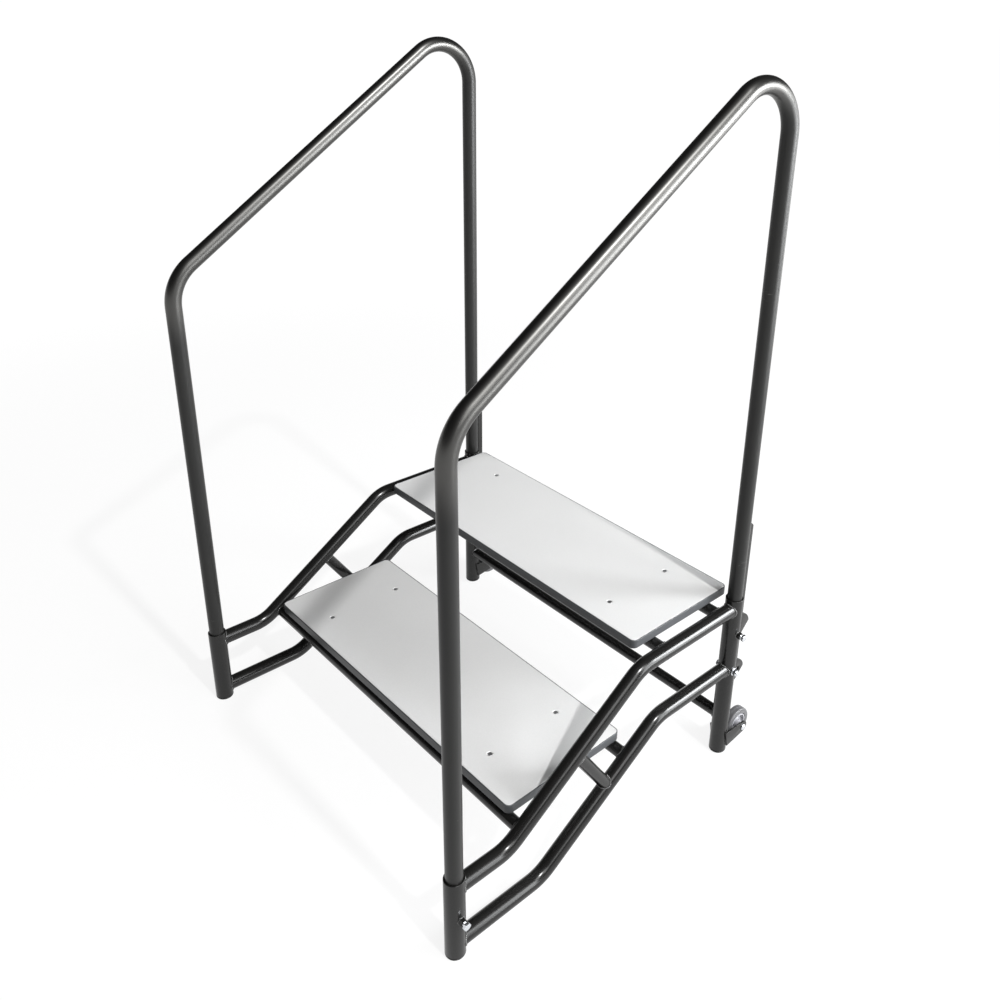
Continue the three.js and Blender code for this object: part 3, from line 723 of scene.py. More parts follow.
class NodeTools:
    """The geometry node trees that sweep tubes and seams and set fasteners out."""

    def __init__(self) -> None:
        """Builds the three trees."""
        self.tube = self._build_tube()
        self.seam = self._build_seam()
        self.fasteners = self._build_fasteners()

    def _finish(
        self,
        tree: bpy.types.NodeTree,
        shape: bpy.types.NodeSocket,
        ends: tuple[bpy.types.Node, bpy.types.Node],
    ) -> None:
        """Ends a tree in smooth shading, Realize Instances and Set Material.

        Args:
            tree: The tree.
            shape: The geometry to finish.
            ends: The tree's Group Input and Group Output nodes.
        """
        inward, outward = ends
        shaded = add_node(tree, "GeometryNodeSetShadeSmooth")
        real = add_node(tree, "GeometryNodeRealizeInstances")
        dressed = add_node(tree, "GeometryNodeSetMaterial")
        tree.links.new(shape, real.inputs["Geometry"])
        tree.links.new(real.outputs["Geometry"], shaded.inputs["Geometry"])
        tree.links.new(shaded.outputs["Geometry"], dressed.inputs["Geometry"])
        tree.links.new(inward.outputs["Finish"], dressed.inputs["Material"])
        tree.links.new(dressed.outputs["Geometry"], outward.inputs["Geometry"])

    def _build_tube(self) -> bpy.types.NodeTree:
        """A round tube along a path, with closed ends.

        Returns:
            The tree, with the inputs Radius, Sides and Finish.
        """
        tree, inward, outward = new_group(
            "tube_along_path",
            "GeometryNodeTree",
            {
                "Geometry": ("NodeSocketGeometry", None),
                "Radius": ("NodeSocketFloat", 16.0 * MILLIMETRE),
                "Sides": ("NodeSocketInt", TUBE_SIDES),
                "Finish": ("NodeSocketMaterial", None),
            },
            {"Geometry": "NodeSocketGeometry"},
        )
        path = add_node(tree, "GeometryNodeMeshToCurve")
        ring = add_node(tree, "GeometryNodeCurvePrimitiveCircle", mode="RADIUS")
        sweep = add_node(tree, "GeometryNodeCurveToMesh")
        sweep.inputs["Fill Caps"].default_value = True
        tree.links.new(inward.outputs["Geometry"], path.inputs["Mesh"])
        tree.links.new(inward.outputs["Radius"], ring.inputs["Radius"])
        tree.links.new(inward.outputs["Sides"], ring.inputs["Resolution"])
        tree.links.new(path.outputs["Curve"], sweep.inputs["Curve"])
        tree.links.new(ring.outputs["Curve"], sweep.inputs["Profile Curve"])
        self._finish(tree, sweep.outputs["Mesh"], (inward, outward))
        return tree

    def _build_seam(self) -> bpy.types.NodeTree:
        """A rippled weld bead along a path.

        Returns:
            The tree, with the inputs Radius, Pitch, Ripple Depth, Step and Finish.
        """
        tree, inward, outward = new_group(
            "weld_seam",
            "GeometryNodeTree",
            {
                "Geometry": ("NodeSocketGeometry", None),
                "Radius": ("NodeSocketFloat", 2.0 * MILLIMETRE),
                "Pitch": ("NodeSocketFloat", 1.8 * MILLIMETRE),
                "Ripple Depth": ("NodeSocketFloat", 0.18),
                "Step": ("NodeSocketFloat", 0.5 * MILLIMETRE),
                "Finish": ("NodeSocketMaterial", None),
            },
            {"Geometry": "NodeSocketGeometry"},
        )
        path = add_node(tree, "GeometryNodeMeshToCurve")
        even = add_node(tree, "GeometryNodeResampleCurve", mode="LENGTH")
        sized = add_node(tree, "GeometryNodeSetCurveRadius")
        along = add_node(tree, "GeometryNodeSplineParameter")
        ring = add_node(tree, "GeometryNodeCurvePrimitiveCircle", mode="RADIUS")
        ring.inputs["Radius"].default_value = 1.0
        ring.inputs["Resolution"].default_value = BEAD_SIDES
        sweep = add_node(tree, "GeometryNodeCurveToMesh")
        sweep.inputs["Fill Caps"].default_value = True
        phase = math_node(tree, "DIVIDE", along.outputs["Length"], inward.outputs["Pitch"])
        turns = math_node(tree, "MULTIPLY", phase, math.tau)
        wave = math_node(tree, "SINE", turns, 0.0)
        swing = math_node(tree, "MULTIPLY", wave, inward.outputs["Ripple Depth"])
        share = math_node(tree, "ADD", swing, 1.0)
        width = math_node(tree, "MULTIPLY", share, inward.outputs["Radius"])
        tree.links.new(inward.outputs["Geometry"], path.inputs["Mesh"])
        tree.links.new(path.outputs["Curve"], even.inputs["Curve"])
        tree.links.new(inward.outputs["Step"], even.inputs["Length"])
        tree.links.new(even.outputs["Curve"], sized.inputs["Curve"])
        tree.links.new(width, sized.inputs["Radius"])
        tree.links.new(sized.outputs["Curve"], sweep.inputs["Curve"])
        tree.links.new(ring.outputs["Curve"], sweep.inputs["Profile Curve"])
        radius = add_node(tree, "GeometryNodeInputRadius")
        tree.links.new(radius.outputs["Radius"], sweep.inputs["Scale"])
        self._finish(tree, sweep.outputs["Mesh"], (inward, outward))
        return tree

    def _build_fasteners(self) -> bpy.types.NodeTree:
        """One fastener pattern set out on points, turned by the points' own attribute.

        Returns:
            The tree, with the inputs Pattern, Loose Turn, Seed and Finish.
        """
        tree, inward, outward = new_group(
            "fasteners_on_points",
            "GeometryNodeTree",
            {
                "Geometry": ("NodeSocketGeometry", None),
                "Pattern": ("NodeSocketObject", None),
                "Loose Turn": ("NodeSocketFloat", 0.0),
                "Seed": ("NodeSocketInt", TURN_SEED),
                "Finish": ("NodeSocketMaterial", None),
            },
            {"Geometry": "NodeSocketGeometry"},
        )
        pattern = add_node(tree, "GeometryNodeObjectInfo")
        fixed = add_node(tree, "GeometryNodeInputNamedAttribute", data_type="FLOAT")
        fixed.inputs["Name"].default_value = "turn"
        loose = add_node(tree, "FunctionNodeRandomValue", data_type="FLOAT")
        chance = [socket for socket in loose.outputs if socket.enabled][0]
        scaled = math_node(tree, "MULTIPLY", chance, inward.outputs["Loose Turn"])
        total = math_node(tree, "ADD", fixed.outputs["Attribute"], scaled)
        turn = add_node(tree, "ShaderNodeCombineXYZ")
        put = add_node(tree, "GeometryNodeInstanceOnPoints")
        tree.links.new(inward.outputs["Seed"], loose.inputs["Seed"])
        tree.links.new(inward.outputs["Pattern"], pattern.inputs["Object"])
        tree.links.new(total, turn.inputs["Z"])
        tree.links.new(inward.outputs["Geometry"], put.inputs["Points"])
        tree.links.new(pattern.outputs["Geometry"], put.inputs["Instance"])
        tree.links.new(turn.outputs["Vector"], put.inputs["Rotation"])
        self._finish(tree, put.outputs["Instances"], (inward, outward))
        return tree

    def run(
        self, tree: bpy.types.NodeTree, carrier: bpy.types.Object, name: str, values: dict[str, object]
    ) -> bpy.types.Object:
        """Runs a tree on a carrier and keeps the result as a plain mesh.

        Args:
            tree: One of this class's trees.
            carrier: The object that holds the path or points.
            name: The finished object's name.
            values: Input name to value.

        Returns:
            The plain mesh object.
        """
        modifier = carrier.modifiers.new(tree.name, "NODES")
        modifier.node_group = tree
        identifiers = {
            item.name: item.identifier
            for item in tree.interface.items_tree
            if item.item_type == "SOCKET" and item.in_out == "INPUT"
        }
        for socket_name, value in values.items():
            modifier[identifiers[socket_name]] = value
        carrier.update_tag()
        bpy.context.view_layer.update()
        return bake_modifiers(carrier, name)


# Routes and copes


@dataclass(frozen=True)
class Bend:
    """A round bend: where the two straights would meet, and the radius of the centre line."""

    corner: Vector
    radius: float


def route(start: Vector, bends: Sequence[Bend], end: Vector) -> list[Vector]:
    """Points of a centre line made of straights and round bends.

    Args:
        start: The first point.
        bends: The bends in order.
        end: The last point.

    Returns:
        Points at the ends and every few degrees round each bend.
    """
    corners = [start, *[bend.corner for bend in bends], end]
    points = [start]
    for index, bend in enumerate(bends):
        arriving = (bend.corner - corners[index]).normalized()
        leaving = (corners[index + 2] - bend.corner).normalized()
        turn = arriving.angle(leaving)
        steps = max(2, round(turn / BEND_STEP))
        side = (leaving - arriving * leaving.dot(arriving)).normalized()
        first = bend.corner - arriving * bend.radius * math.tan(turn / 2)
        centre = first + side * bend.radius
        for step in range(steps + 1):
            angle = turn * step / steps
            ahead = arriving * bend.radius * math.sin(angle)
            inwards = side * bend.radius * math.cos(angle)
            points.append(centre + ahead - inwards)
    return [*points, end]


@dataclass(frozen=True)
class Round:
    """A neighbour's straight round run, as seen by a tube that is coped to it."""

    point: Vector
    axis: Vector
    radius: float

    def reach(self, start: Vector, direction: Vector, limit: float) -> float:
        """How far a straight goes before it meets the run.

        Args:
            start: Where the straight starts, outside the run.
            direction: Its unit direction.
            limit: The furthest that it may go.

        Returns:
            The distance, at most limit.
        """
        offset = start - self.point
        across = offset - self.axis * offset.dot(self.axis)
        slide = direction - self.axis * direction.dot(self.axis)
        square = slide.dot(slide)
        half = across.dot(slide)
        rest = across.dot(across) - self.radius ** 2
        root = half * half - square * rest
        if root < 0:
            return limit
        return min((-half - math.sqrt(root)) / square, limit)

    def mirrored(self) -> "Round":
        """The same run on the other flank, for an axis that has no part along X."""
        return Round(Vector((-self.point.x, self.point.y, self.point.z)), self.axis, self.radius)


def cope(
    obj: bpy.types.Object, end: Vector, direction: Vector, neighbour: Round, back: float
) -> list[Vector]:
    """Fits a tube's closed end to a neighbour's round side.

    Args:
        obj: The tube.
        end: The centre of its end.
        direction: The unit direction out of that end.
        neighbour: What it is coped to.
        back: How far behind the end the fitting starts, and how far a point may go from there.

    Returns:
        The points of the fitted rim, in order round the tube.
    """
    side = direction.orthogonal().normalized()
    other = direction.cross(side)
    rim = []
    for vertex in obj.data.vertices:
        offset = vertex.co - end
        if abs(offset.dot(direction)) < END_TOLERANCE:
            start = vertex.co - direction * back
            vertex.co = start + direction * neighbour.reach(start, direction, back)
            rim.append((math.atan2(offset.dot(other), offset.dot(side)), vertex.co.copy()))
    return [point for _, point in sorted(rim, key=lambda pair: pair[0])]


def middle(node: str) -> Vector:
    """The middle of a CAD node's box."""
    low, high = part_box(node)
    return (low + high) / 2


def half_width(node: str) -> float:
    """Half of a CAD node's width along X."""
    low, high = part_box(node)
    return (high.x - low.x) / 2


def half_height(node: str) -> float:
    """Half of a CAD node's height."""
    low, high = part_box(node)
    return (high.z - low.z) / 2


@dataclass(frozen=True)
class SeamPath:
    """Where a weld bead runs, whether it closes on itself, and the bead's radius."""

    points: tuple[Vector, ...]
    closed: bool
    radius: float


@dataclass
class Workshop:
    """The materials and node trees that every sub-assembly uses, and the seams they leave."""

    groups: SurfaceGroups = field(default_factory=SurfaceGroups)
    tools: NodeTools = field(default_factory=NodeTools)
    materials: dict[str, bpy.types.Material] = field(default_factory=dict)
    seams: list[SeamPath] = field(default_factory=list)

    def __post_init__(self) -> None:
        """Builds every finish once."""
        for finish in ALL_FINISHES:
            self.materials[finish.name] = finish.material(self.groups)

    def tube(
        self, name: str, points: Sequence[Vector], radius: float, finish: Finish
    ) -> bpy.types.Object:
        """Sweeps a tube of an outer radius along its centre line, as a plain mesh."""
        values = {"Radius": radius, "Sides": TUBE_SIDES, "Finish": self.materials[finish.name]}
        return self.tools.run(self.tools.tube, link_path(name, points), name, values)

    def seam(self, points: Sequence[Vector], closed: bool, radius: float) -> None:
        """Notes a weld seam, to be laid once all the pieces are there."""
        self.seams.append(SeamPath(tuple(points), closed, radius))

    def deliver(
        self, obj: bpy.types.Object, body: str, finish: Finish, nodes: Sequence[str] = ()
    ) -> None:
        """Dresses a piece and hands it to the frame.

        Args:
            obj: The piece.
            body: The CAD body that it rides on.
            finish: Its finish.
            nodes: The CAD nodes that it replaces.
        """
        obj.data.materials.clear()
        obj.data.materials.append(self.materials[finish.name])
        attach(obj, body)
        if nodes:
            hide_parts(*nodes)
        log.info("%s: %d faces on %s", obj.name, len(obj.data.polygons), body)

    def fasteners(
        self,
        name: str,
        pattern: bpy.types.Object,
        points: Sequence[Vector],
        turns: Sequence[float],
        loose: float = 0.0,
    ) -> bpy.types.Object:
        """Sets a pattern out on points.

        Args:
            name: The piece's name.
            pattern: The pattern, which is used up.
            points: Where each fastener goes.
            turns: Each fastener's turn about Z.
            loose: The most that chance adds to a turn.

        Returns:
            All the fasteners as one plain mesh.
        """
        carrier = link_mesh(name, points, [])
        attribute = carrier.data.attributes.new("turn", "FLOAT", "POINT")
        attribute.data.foreach_set("value", list(turns))
        values = {"Pattern": pattern, "Loose Turn": loose, "Seed": TURN_SEED}
        made = self.tools.run(self.tools.fasteners, carrier, name, values)
        bpy.data.objects.remove(pattern)
        return smooth(made)


# Sub-assemblies


@dataclass
class Legs:
    """The four socket legs and their foot caps."""

    shop: Workshop
    wall: float = 2.75 * MILLIMETRE
    rim_round: float = 0.7 * MILLIMETRE
    cap_round: float = 5.0 * MILLIMETRE
    cap_lip: float = 0.4 * MILLIMETRE
    plug_length: float = 22.0 * MILLIMETRE

    def build(self) -> None:
        """Makes each leg and its cap."""
        for side in Side:
            for place_word in ("front", "rear"):
                self._leg(f"{side.word}_{place_word}_leg")
                self._cap(f"{side.word}_{place_word}_foot")

    def _leg(self, node: str) -> None:
        """Makes one leg from its CAD box.

        Args:
            node: The leg's CAD node.
        """
        low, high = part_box(node)
        radius = half_width(node)
        inner = radius - self.wall
        ease = self.rim_round
        profile = [
            (inner, low.z),
            (radius - ease, low.z),
            (radius, low.z + ease),
            *arc((radius - ease, high.z - ease), ease, 0, 90, RIM_STEPS),
            *arc((inner + ease, high.z - ease), ease, 90, 180, RIM_STEPS),
        ]
        self._stand(turned(f"{node}_tube", profile, TUBE_SIDES), node, FRAME_COAT)

    def _cap(self, node: str) -> None:
        """Makes one foot cap from its CAD box.

        Args:
            node: The cap's CAD node.
        """
        _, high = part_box(node)
        radius = half_width(node)
        plug = radius - self.wall - SEAT_GAP
        cap_top = high.z - self.plug_length
        profile = [
            (0, 0),
            *arc((radius - self.cap_round, self.cap_round), self.cap_round, -90, 0),
            (radius, cap_top - self.cap_lip),
            (radius - self.cap_lip, cap_top),
            (plug, cap_top),
            (plug, high.z - self.cap_lip),
            (plug - self.cap_lip, high.z),
            (0, high.z),
        ]
        self._stand(turned(f"{node}_cap", profile, TUBE_SIDES), node, FOOT_RUBBER)

    def _stand(self, obj: bpy.types.Object, node: str, finish: Finish) -> None:
        """Puts a turned piece on its node's upright axis and delivers it.

        Args:
            obj: The piece, turned about Z.
            node: The CAD node that it replaces.
            finish: Its finish.
        """
        centre = middle(node)
        place(obj, Matrix.Translation((centre.x, centre.y, 0)))
        self.shop.deliver(obj, "stairs", finish, [node])


@dataclass(frozen=True)
class RailRoute:
    """One side rail's centre line: level, up the slope, and level again."""

    front_height: float
    rear_height: float
    front_run: float
    rear_run: float

    def corners(self, x: float, front_y: float, rear_y: float) -> tuple[Vector, Vector]:
        """The corners at the slope's lower and upper end.

        Args:
            x: The rail's place along X.
            front_y: Y of the front leg.
            rear_y: Y of the rear leg.

        Returns:
            The lower and the upper corner.
        """
        lower = Vector((x, front_y + self.front_run, self.front_height))
        upper = Vector((x, rear_y - self.rear_run, self.rear_height))
        return lower, upper


@dataclass
class SideFrames:
    """The side rails, their braces and the crossbars between the two flanks."""

    shop: Workshop
    bend_radius: float = 80.0 * MILLIMETRE
    seam_radius: float = 1.7 * MILLIMETRE
    cope_back: float = 60.0 * MILLIMETRE
    upper_runs: tuple[float, float] = (115.6 * MILLIMETRE, 287.7 * MILLIMETRE)
    lower_runs: tuple[float, float] = (196.6 * MILLIMETRE, 227.9 * MILLIMETRE)
    brace_share: float = 0.5

    def __post_init__(self) -> None:
        """Reads the frame's main places from the CAD nodes."""
        self.x = middle("right_front_leg").x
        self.front_y = middle("right_front_leg").y
        self.rear_y = middle("right_rear_leg").y
        self.leg_radius = half_width("right_front_leg")
        self.rail_radius = half_width("right_upper_rail")
        self.bar_radius = half_height("rear_leg_bar")
        self.routes = {kind: self._read_route(kind) for kind in RailKind}

    def _read_route(self, kind: RailKind) -> RailRoute:
        """Reads a rail's two levels from its CAD box.

        Args:
            kind: The upper or the lower rail.

        Returns:
            The rail's route.
        """
        low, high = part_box(f"right_{kind.value}_rail")
        runs = self.upper_runs if kind is RailKind.UPPER else self.lower_runs
        return RailRoute(low.z + self.rail_radius, high.z - self.rail_radius, *runs)

    def _slope(self, kind: RailKind, x: float) -> tuple[Vector, Vector]:
        """A rail's slope as a point on it and its unit direction."""
        lower, upper = self.routes[kind].corners(x, self.front_y, self.rear_y)
        return lower, (upper - lower).normalized()

    def build(self) -> None:
        """Makes the rails, the braces and the crossbars."""
        for side in Side:
            x = self.x * side.value
            for kind in RailKind:
                self._rail(side, kind, x)
            self._brace(side, x)
        self._bars()

    def _fit(
        self, obj: bpy.types.Object, node: str, ends: Sequence[tuple[Vector, Vector, Round]]
    ) -> None:
        """Copes a tube's ends, notes the welds round them and delivers the tube.

        Args:
            obj: The tube.
            node: The CAD node that it replaces.
            ends: For each end its centre, the way out of it and the run that it meets.
        """
        for point, way, neighbour in ends:
            rim = cope(obj, point, way, neighbour, self.cope_back)
            self.shop.seam(rim, True, self.seam_radius)
        self.shop.deliver(smooth(obj), "stairs", FRAME_COAT, [node])

    def _rail(self, side: Side, kind: RailKind, x: float) -> None:
        """Makes one rail.

        Args:
            side: The flank.
            kind: The upper or the lower rail.
            x: The rail's place along X.
        """
        path = self.routes[kind]
        lower, upper = path.corners(x, self.front_y, self.rear_y)
        start = Vector((x, self.front_y, path.front_height))
        end = Vector((x, self.rear_y, path.rear_height))
        bends = [Bend(lower, self.bend_radius), Bend(upper, self.bend_radius)]
        node = f"{side.word}_{kind.value}_rail"
        obj = self.shop.tube(f"{node}_tube", route(start, bends, end), self.rail_radius, FRAME_COAT)
        front_leg = Round(Vector((x, self.front_y, 0)), UPRIGHT, self.leg_radius)
        rear_leg = Round(Vector((x, self.rear_y, 0)), UPRIGHT, self.leg_radius)
        self._fit(obj, node, ((start, -UP_THE_STAIRS, front_leg), (end, UP_THE_STAIRS, rear_leg)))

    def _brace(self, side: Side, x: float) -> None:
        """Makes the brace that stands square on the upper rail's slope.

        Args:
            side: The flank.
            x: The brace's place along X.
        """
        lower, upper = self.routes[RailKind.UPPER].corners(x, self.front_y, self.rear_y)
        top = lower.lerp(upper, self.brace_share)
        _, along = self._slope(RailKind.UPPER, x)
        across = Vector((0, along.z, -along.y))
        foot_point, foot_along = self._slope(RailKind.LOWER, x)
        normal = Vector((0, foot_along.z, -foot_along.y))
        foot = top + across * ((foot_point - top).dot(normal) / across.dot(normal))
        node = f"{side.word}_rail_brace"
        obj = self.shop.tube(f"{node}_tube", [top, foot], self.bar_radius, FRAME_COAT)
        upper_rail = Round(top, along, self.rail_radius)
        lower_rail = Round(foot, foot_along, self.rail_radius)
        self._fit(obj, node, ((top, -across, upper_rail), (foot, across, lower_rail)))

    def _bars(self) -> None:
        """Makes the five crossbars."""
        upper_slope = Round(*self._slope(RailKind.UPPER, self.x), self.rail_radius)
        lower_slope = Round(*self._slope(RailKind.LOWER, self.x), self.rail_radius)
        upper_end = Vector((self.x, self.rear_y, self.routes[RailKind.UPPER].rear_height))
        upper_level = Round(upper_end, UP_THE_STAIRS, self.rail_radius)
        rear_leg = Round(Vector((self.x, self.rear_y, 0)), UPRIGHT, self.leg_radius)
        neighbours = {
            "lower_tread_front_bar": upper_slope,
            "lower_tread_rear_bar": lower_slope,
            "upper_tread_front_bar": upper_level,
            "upper_tread_rear_bar": upper_level,
            "rear_leg_bar": rear_leg,
        }
        reach = TO_THE_RIGHT * (self.x - self.rail_radius / 2)
        for node, right in neighbours.items():
            start = middle(node) - reach
            end = middle(node) + reach
            obj = self.shop.tube(f"{node}_tube", [start, end], self.bar_radius, FRAME_COAT)
            self._fit(obj, node, ((start, -TO_THE_RIGHT, right.mirrored()), (end, TO_THE_RIGHT, right)))


@dataclass
class Handrails:
    """The two bent handrails whose posts stand in the legs."""

    shop: Workshop
    front_height: float = 1007.0 * MILLIMETRE
    rear_height: float = 1516.0 * MILLIMETRE
    front_bend: float = 100.0 * MILLIMETRE
    top_bend: float = 85.0 * MILLIMETRE
    rear_post_lift: float = 129.1 * MILLIMETRE

    def build(self) -> None:
        """Makes both handrails."""
        for side in Side:
            node = f"{side.word}_handrail"
            low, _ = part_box(node)
            front = middle(f"{side.word}_front_leg")
            rear = middle(f"{side.word}_rear_leg")
            start = Vector((front.x, front.y, low.z))
            end = Vector((rear.x, rear.y, low.z + self.rear_post_lift))
            bends = [
                Bend(Vector((front.x, front.y, self.front_height)), self.front_bend),
                Bend(Vector((rear.x, rear.y, self.rear_height)), self.top_bend),
            ]
            path = route(start, bends, end)
            obj = self.shop.tube(f"{node}_tube", path, half_width(node), HANDRAIL_COAT)
            self.shop.deliver(smooth(obj), "stairs", HANDRAIL_COAT, [node])


@dataclass
class Treads:
    """The boards, their edge bands and the screws that hold them."""

    shop: Workshop
    corner: float = 12.0 * MILLIMETRE
    edge_round: float = 2.2 * MILLIMETRE
    inner_round: float = 0.4 * MILLIMETRE
    corner_steps: int = 10
    head_radius: float = 5.0 * MILLIMETRE
    head_height: float = 2.8 * MILLIMETRE
    shank_radius: float = 2.4 * MILLIMETRE
    hole_clearance: float = 0.3 * MILLIMETRE
    ring_width: float = 1.0 * MILLIMETRE
    ring_depth: float = 1.0 * MILLIMETRE
    screw_length: float = 29.8 * MILLIMETRE
    recess_radius: float = 2.6 * MILLIMETRE
    recess_width: float = 1.0 * MILLIMETRE
    recess_depth: float = 2.0 * MILLIMETRE
    sink: float = 0.2 * MILLIMETRE
    core_below: float = 0.03 * MILLIMETRE
    words: tuple[str, str] = ("lower", "upper")

    def build(self) -> None:
        """Makes both treads and their screws."""
        for word in self.words:
            self._board(word)
            self._band(word)
        self._screws()

    def _loop(
        self, low: Vector, high: Vector, inset: float, height: float, band: float = 0.0
    ) -> list[tuple[float, float, float]]:
        """A rounded rectangle at a height, drawn in from a box by an inset.

        Args:
            low: The low corner of the box.
            high: The high corner of the box.
            inset: How far inside the box the rectangle runs.
            height: The rectangle's height.
            band: The width of an edge band round the box, by which its corners are tighter.

        Returns:
            The rectangle's points.
        """
        radius = max(self.corner - band - inset, self.inner_round)
        right = high.x - inset - radius
        left = low.x + inset + radius
        rear = high.y - inset - radius
        front = low.y + inset + radius
        points = []
        for centre, angle in (
            ((right, rear), 0),
            ((left, rear), 90),
            ((left, front), 180),
            ((right, front), 270),
        ):
            points += arc(centre, radius, angle, angle + 90, self.corner_steps)
        return [(x, y, height) for x, y in points]

    def _board(self, word: str) -> None:
        """Makes one board with countersunk holes.

        Args:
            word: Lower or upper.
        """
        node = f"{word}_tread_board"
        low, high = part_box(node)
        band_low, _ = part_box(f"{word}_tread_edge_band")
        band = low.x - band_low.x
        ease = self.inner_round
        levels = ((ease, low.z), (0.0, low.z + ease), (0.0, high.z - ease), (ease, high.z))
        loops = [self._loop(low, high, inset, height, band) for inset, height in levels]
        slab = lofted(f"{node}_slab", loops, False)
        spots = self._screw_places(word)
        cutter = joined(f"{word}_countersinks", [self._hole(spot, high.z) for spot in spots])
        obj = cut(slab, cutter, f"{node}_slab")
        self.shop.deliver(smooth(obj, recalculate=False), "stairs", BOARD, [node])
        self._bare_core(obj, spots, high.z)

    def _bare_core(self, obj: bpy.types.Object, spots: Sequence[Vector], top: float) -> None:
        """Shows the board's pale core inside its countersinks.

        Args:
            obj: The board.
            spots: The middle of each screw.
            top: The height of the board's top.
        """
        obj.data.materials.append(self.shop.materials[BOARD_CORE.name])
        reach = self.head_radius + self.hole_clearance + self.ring_width
        for face in obj.data.polygons:
            spot_distances = [(face.center - spot).xy.length for spot in spots]
            if min(spot_distances) < reach and face.center.z < top - self.core_below:
                face.material_index = 1

    def _hole(self, spot: Vector, top: float) -> bpy.types.Object:
        """A cutter for one countersunk hole.

        Args:
            spot: The middle of the screw.
            top: The height of the board's top.

        Returns:
            The cutter.
        """
        shank = self.shank_radius + self.hole_clearance
        head = self.head_radius + self.hole_clearance
        profile = [
            (0, -self.screw_length),
            (shank, -self.screw_length),
            (shank, -self.head_height),
            (head, -self.ring_depth),
            (head + self.ring_width, 0),
            (head + self.ring_width, self.head_height),
            (0, self.head_height),
        ]
        obj = turned("countersink", profile, SMALL_SIDES)
        return place(obj, Matrix.Translation((spot.x, spot.y, top)))

    def _band(self, word: str) -> None:
        """Makes one edge band with rounded outer edges.

        Args:
            word: Lower or upper.
        """
        node = f"{word}_tread_edge_band"
        low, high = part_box(node)
        board_low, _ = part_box(f"{word}_tread_board")
        width = board_low.x - low.x - SEAT_GAP
        rounding = min(self.edge_round, width - self.inner_round)
        profile = [
            (width, low.z),
            *arc((rounding, low.z + rounding), rounding, 270, 180),
            *arc((rounding, high.z - rounding), rounding, 180, 90),
            (width, high.z),
        ]
        loops = [self._loop(low, high, inset, height) for inset, height in profile]
        self.shop.deliver(lofted(f"{node}_strip", loops, True), "stairs", EDGE_BAND, [node])

    def _screw_nodes(self, word: str) -> list[str]:
        """The CAD nodes of a tread's screws."""
        corners = ("front_left", "front_right", "rear_left", "rear_right")
        return [f"{word}_tread_screw_{corner}" for corner in corners]

    def _screw_places(self, word: str) -> list[Vector]:
        """The middle of each screw of a tread."""
        return [middle(node) for node in self._screw_nodes(word)]

    def _pattern(self) -> bpy.types.Object:
        """One countersunk screw with a cross recess, its top at the origin.

        Returns:
            The screw.
        """
        profile = [
            (0, -self.screw_length),
            (self.shank_radius, -self.screw_length + self.head_radius),
            (self.shank_radius, -self.head_height - self.sink),
            (self.head_radius - self.sink, -self.sink * 2),
            (self.head_radius - self.sink * 2, -self.sink),
            (0, -self.sink),
        ]
        screw = turned("screw_pattern", profile, SMALL_SIDES)
        for turn in (0.0, math.pi / 2):
            screw = cut(screw, self._recess(turn), "screw_pattern")
        return screw

    def _recess(self, turn: float) -> bpy.types.Object:
        """A cutter for one tapering slot of the cross recess.

        Args:
            turn: The slot's turn about Z.

        Returns:
            The cutter.
        """
        half = self.recess_width / 2
        levels = ((self.recess_width, -self.recess_depth), (self.recess_radius, self.head_height))
        corners = ((-1, -half), (1, -half), (1, half), (-1, half))
        vertices = [(sign * reach, y, height) for reach, height in levels for sign, y in corners]
        faces = [(3, 2, 1, 0), (4, 5, 6, 7), (0, 1, 5, 4), (1, 2, 6, 5), (2, 3, 7, 6), (3, 0, 4, 7)]
        return place(link_mesh("recess", vertices, faces), Matrix.Rotation(turn, 4, "Z"))

    def _screws(self) -> None:
        """Sets all eight screws out."""
        points = []
        nodes = []
        for word in self.words:
            _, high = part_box(f"{word}_tread_board")
            points += [Vector((spot.x, spot.y, high.z)) for spot in self._screw_places(word)]
            nodes += self._screw_nodes(word)
        turns = [0.0] * len(points)
        obj = self.shop.fasteners("tread_screws", self._pattern(), points, turns, loose=math.tau)
        self.shop.deliver(obj, "stairs", SCREW_STEEL, nodes)


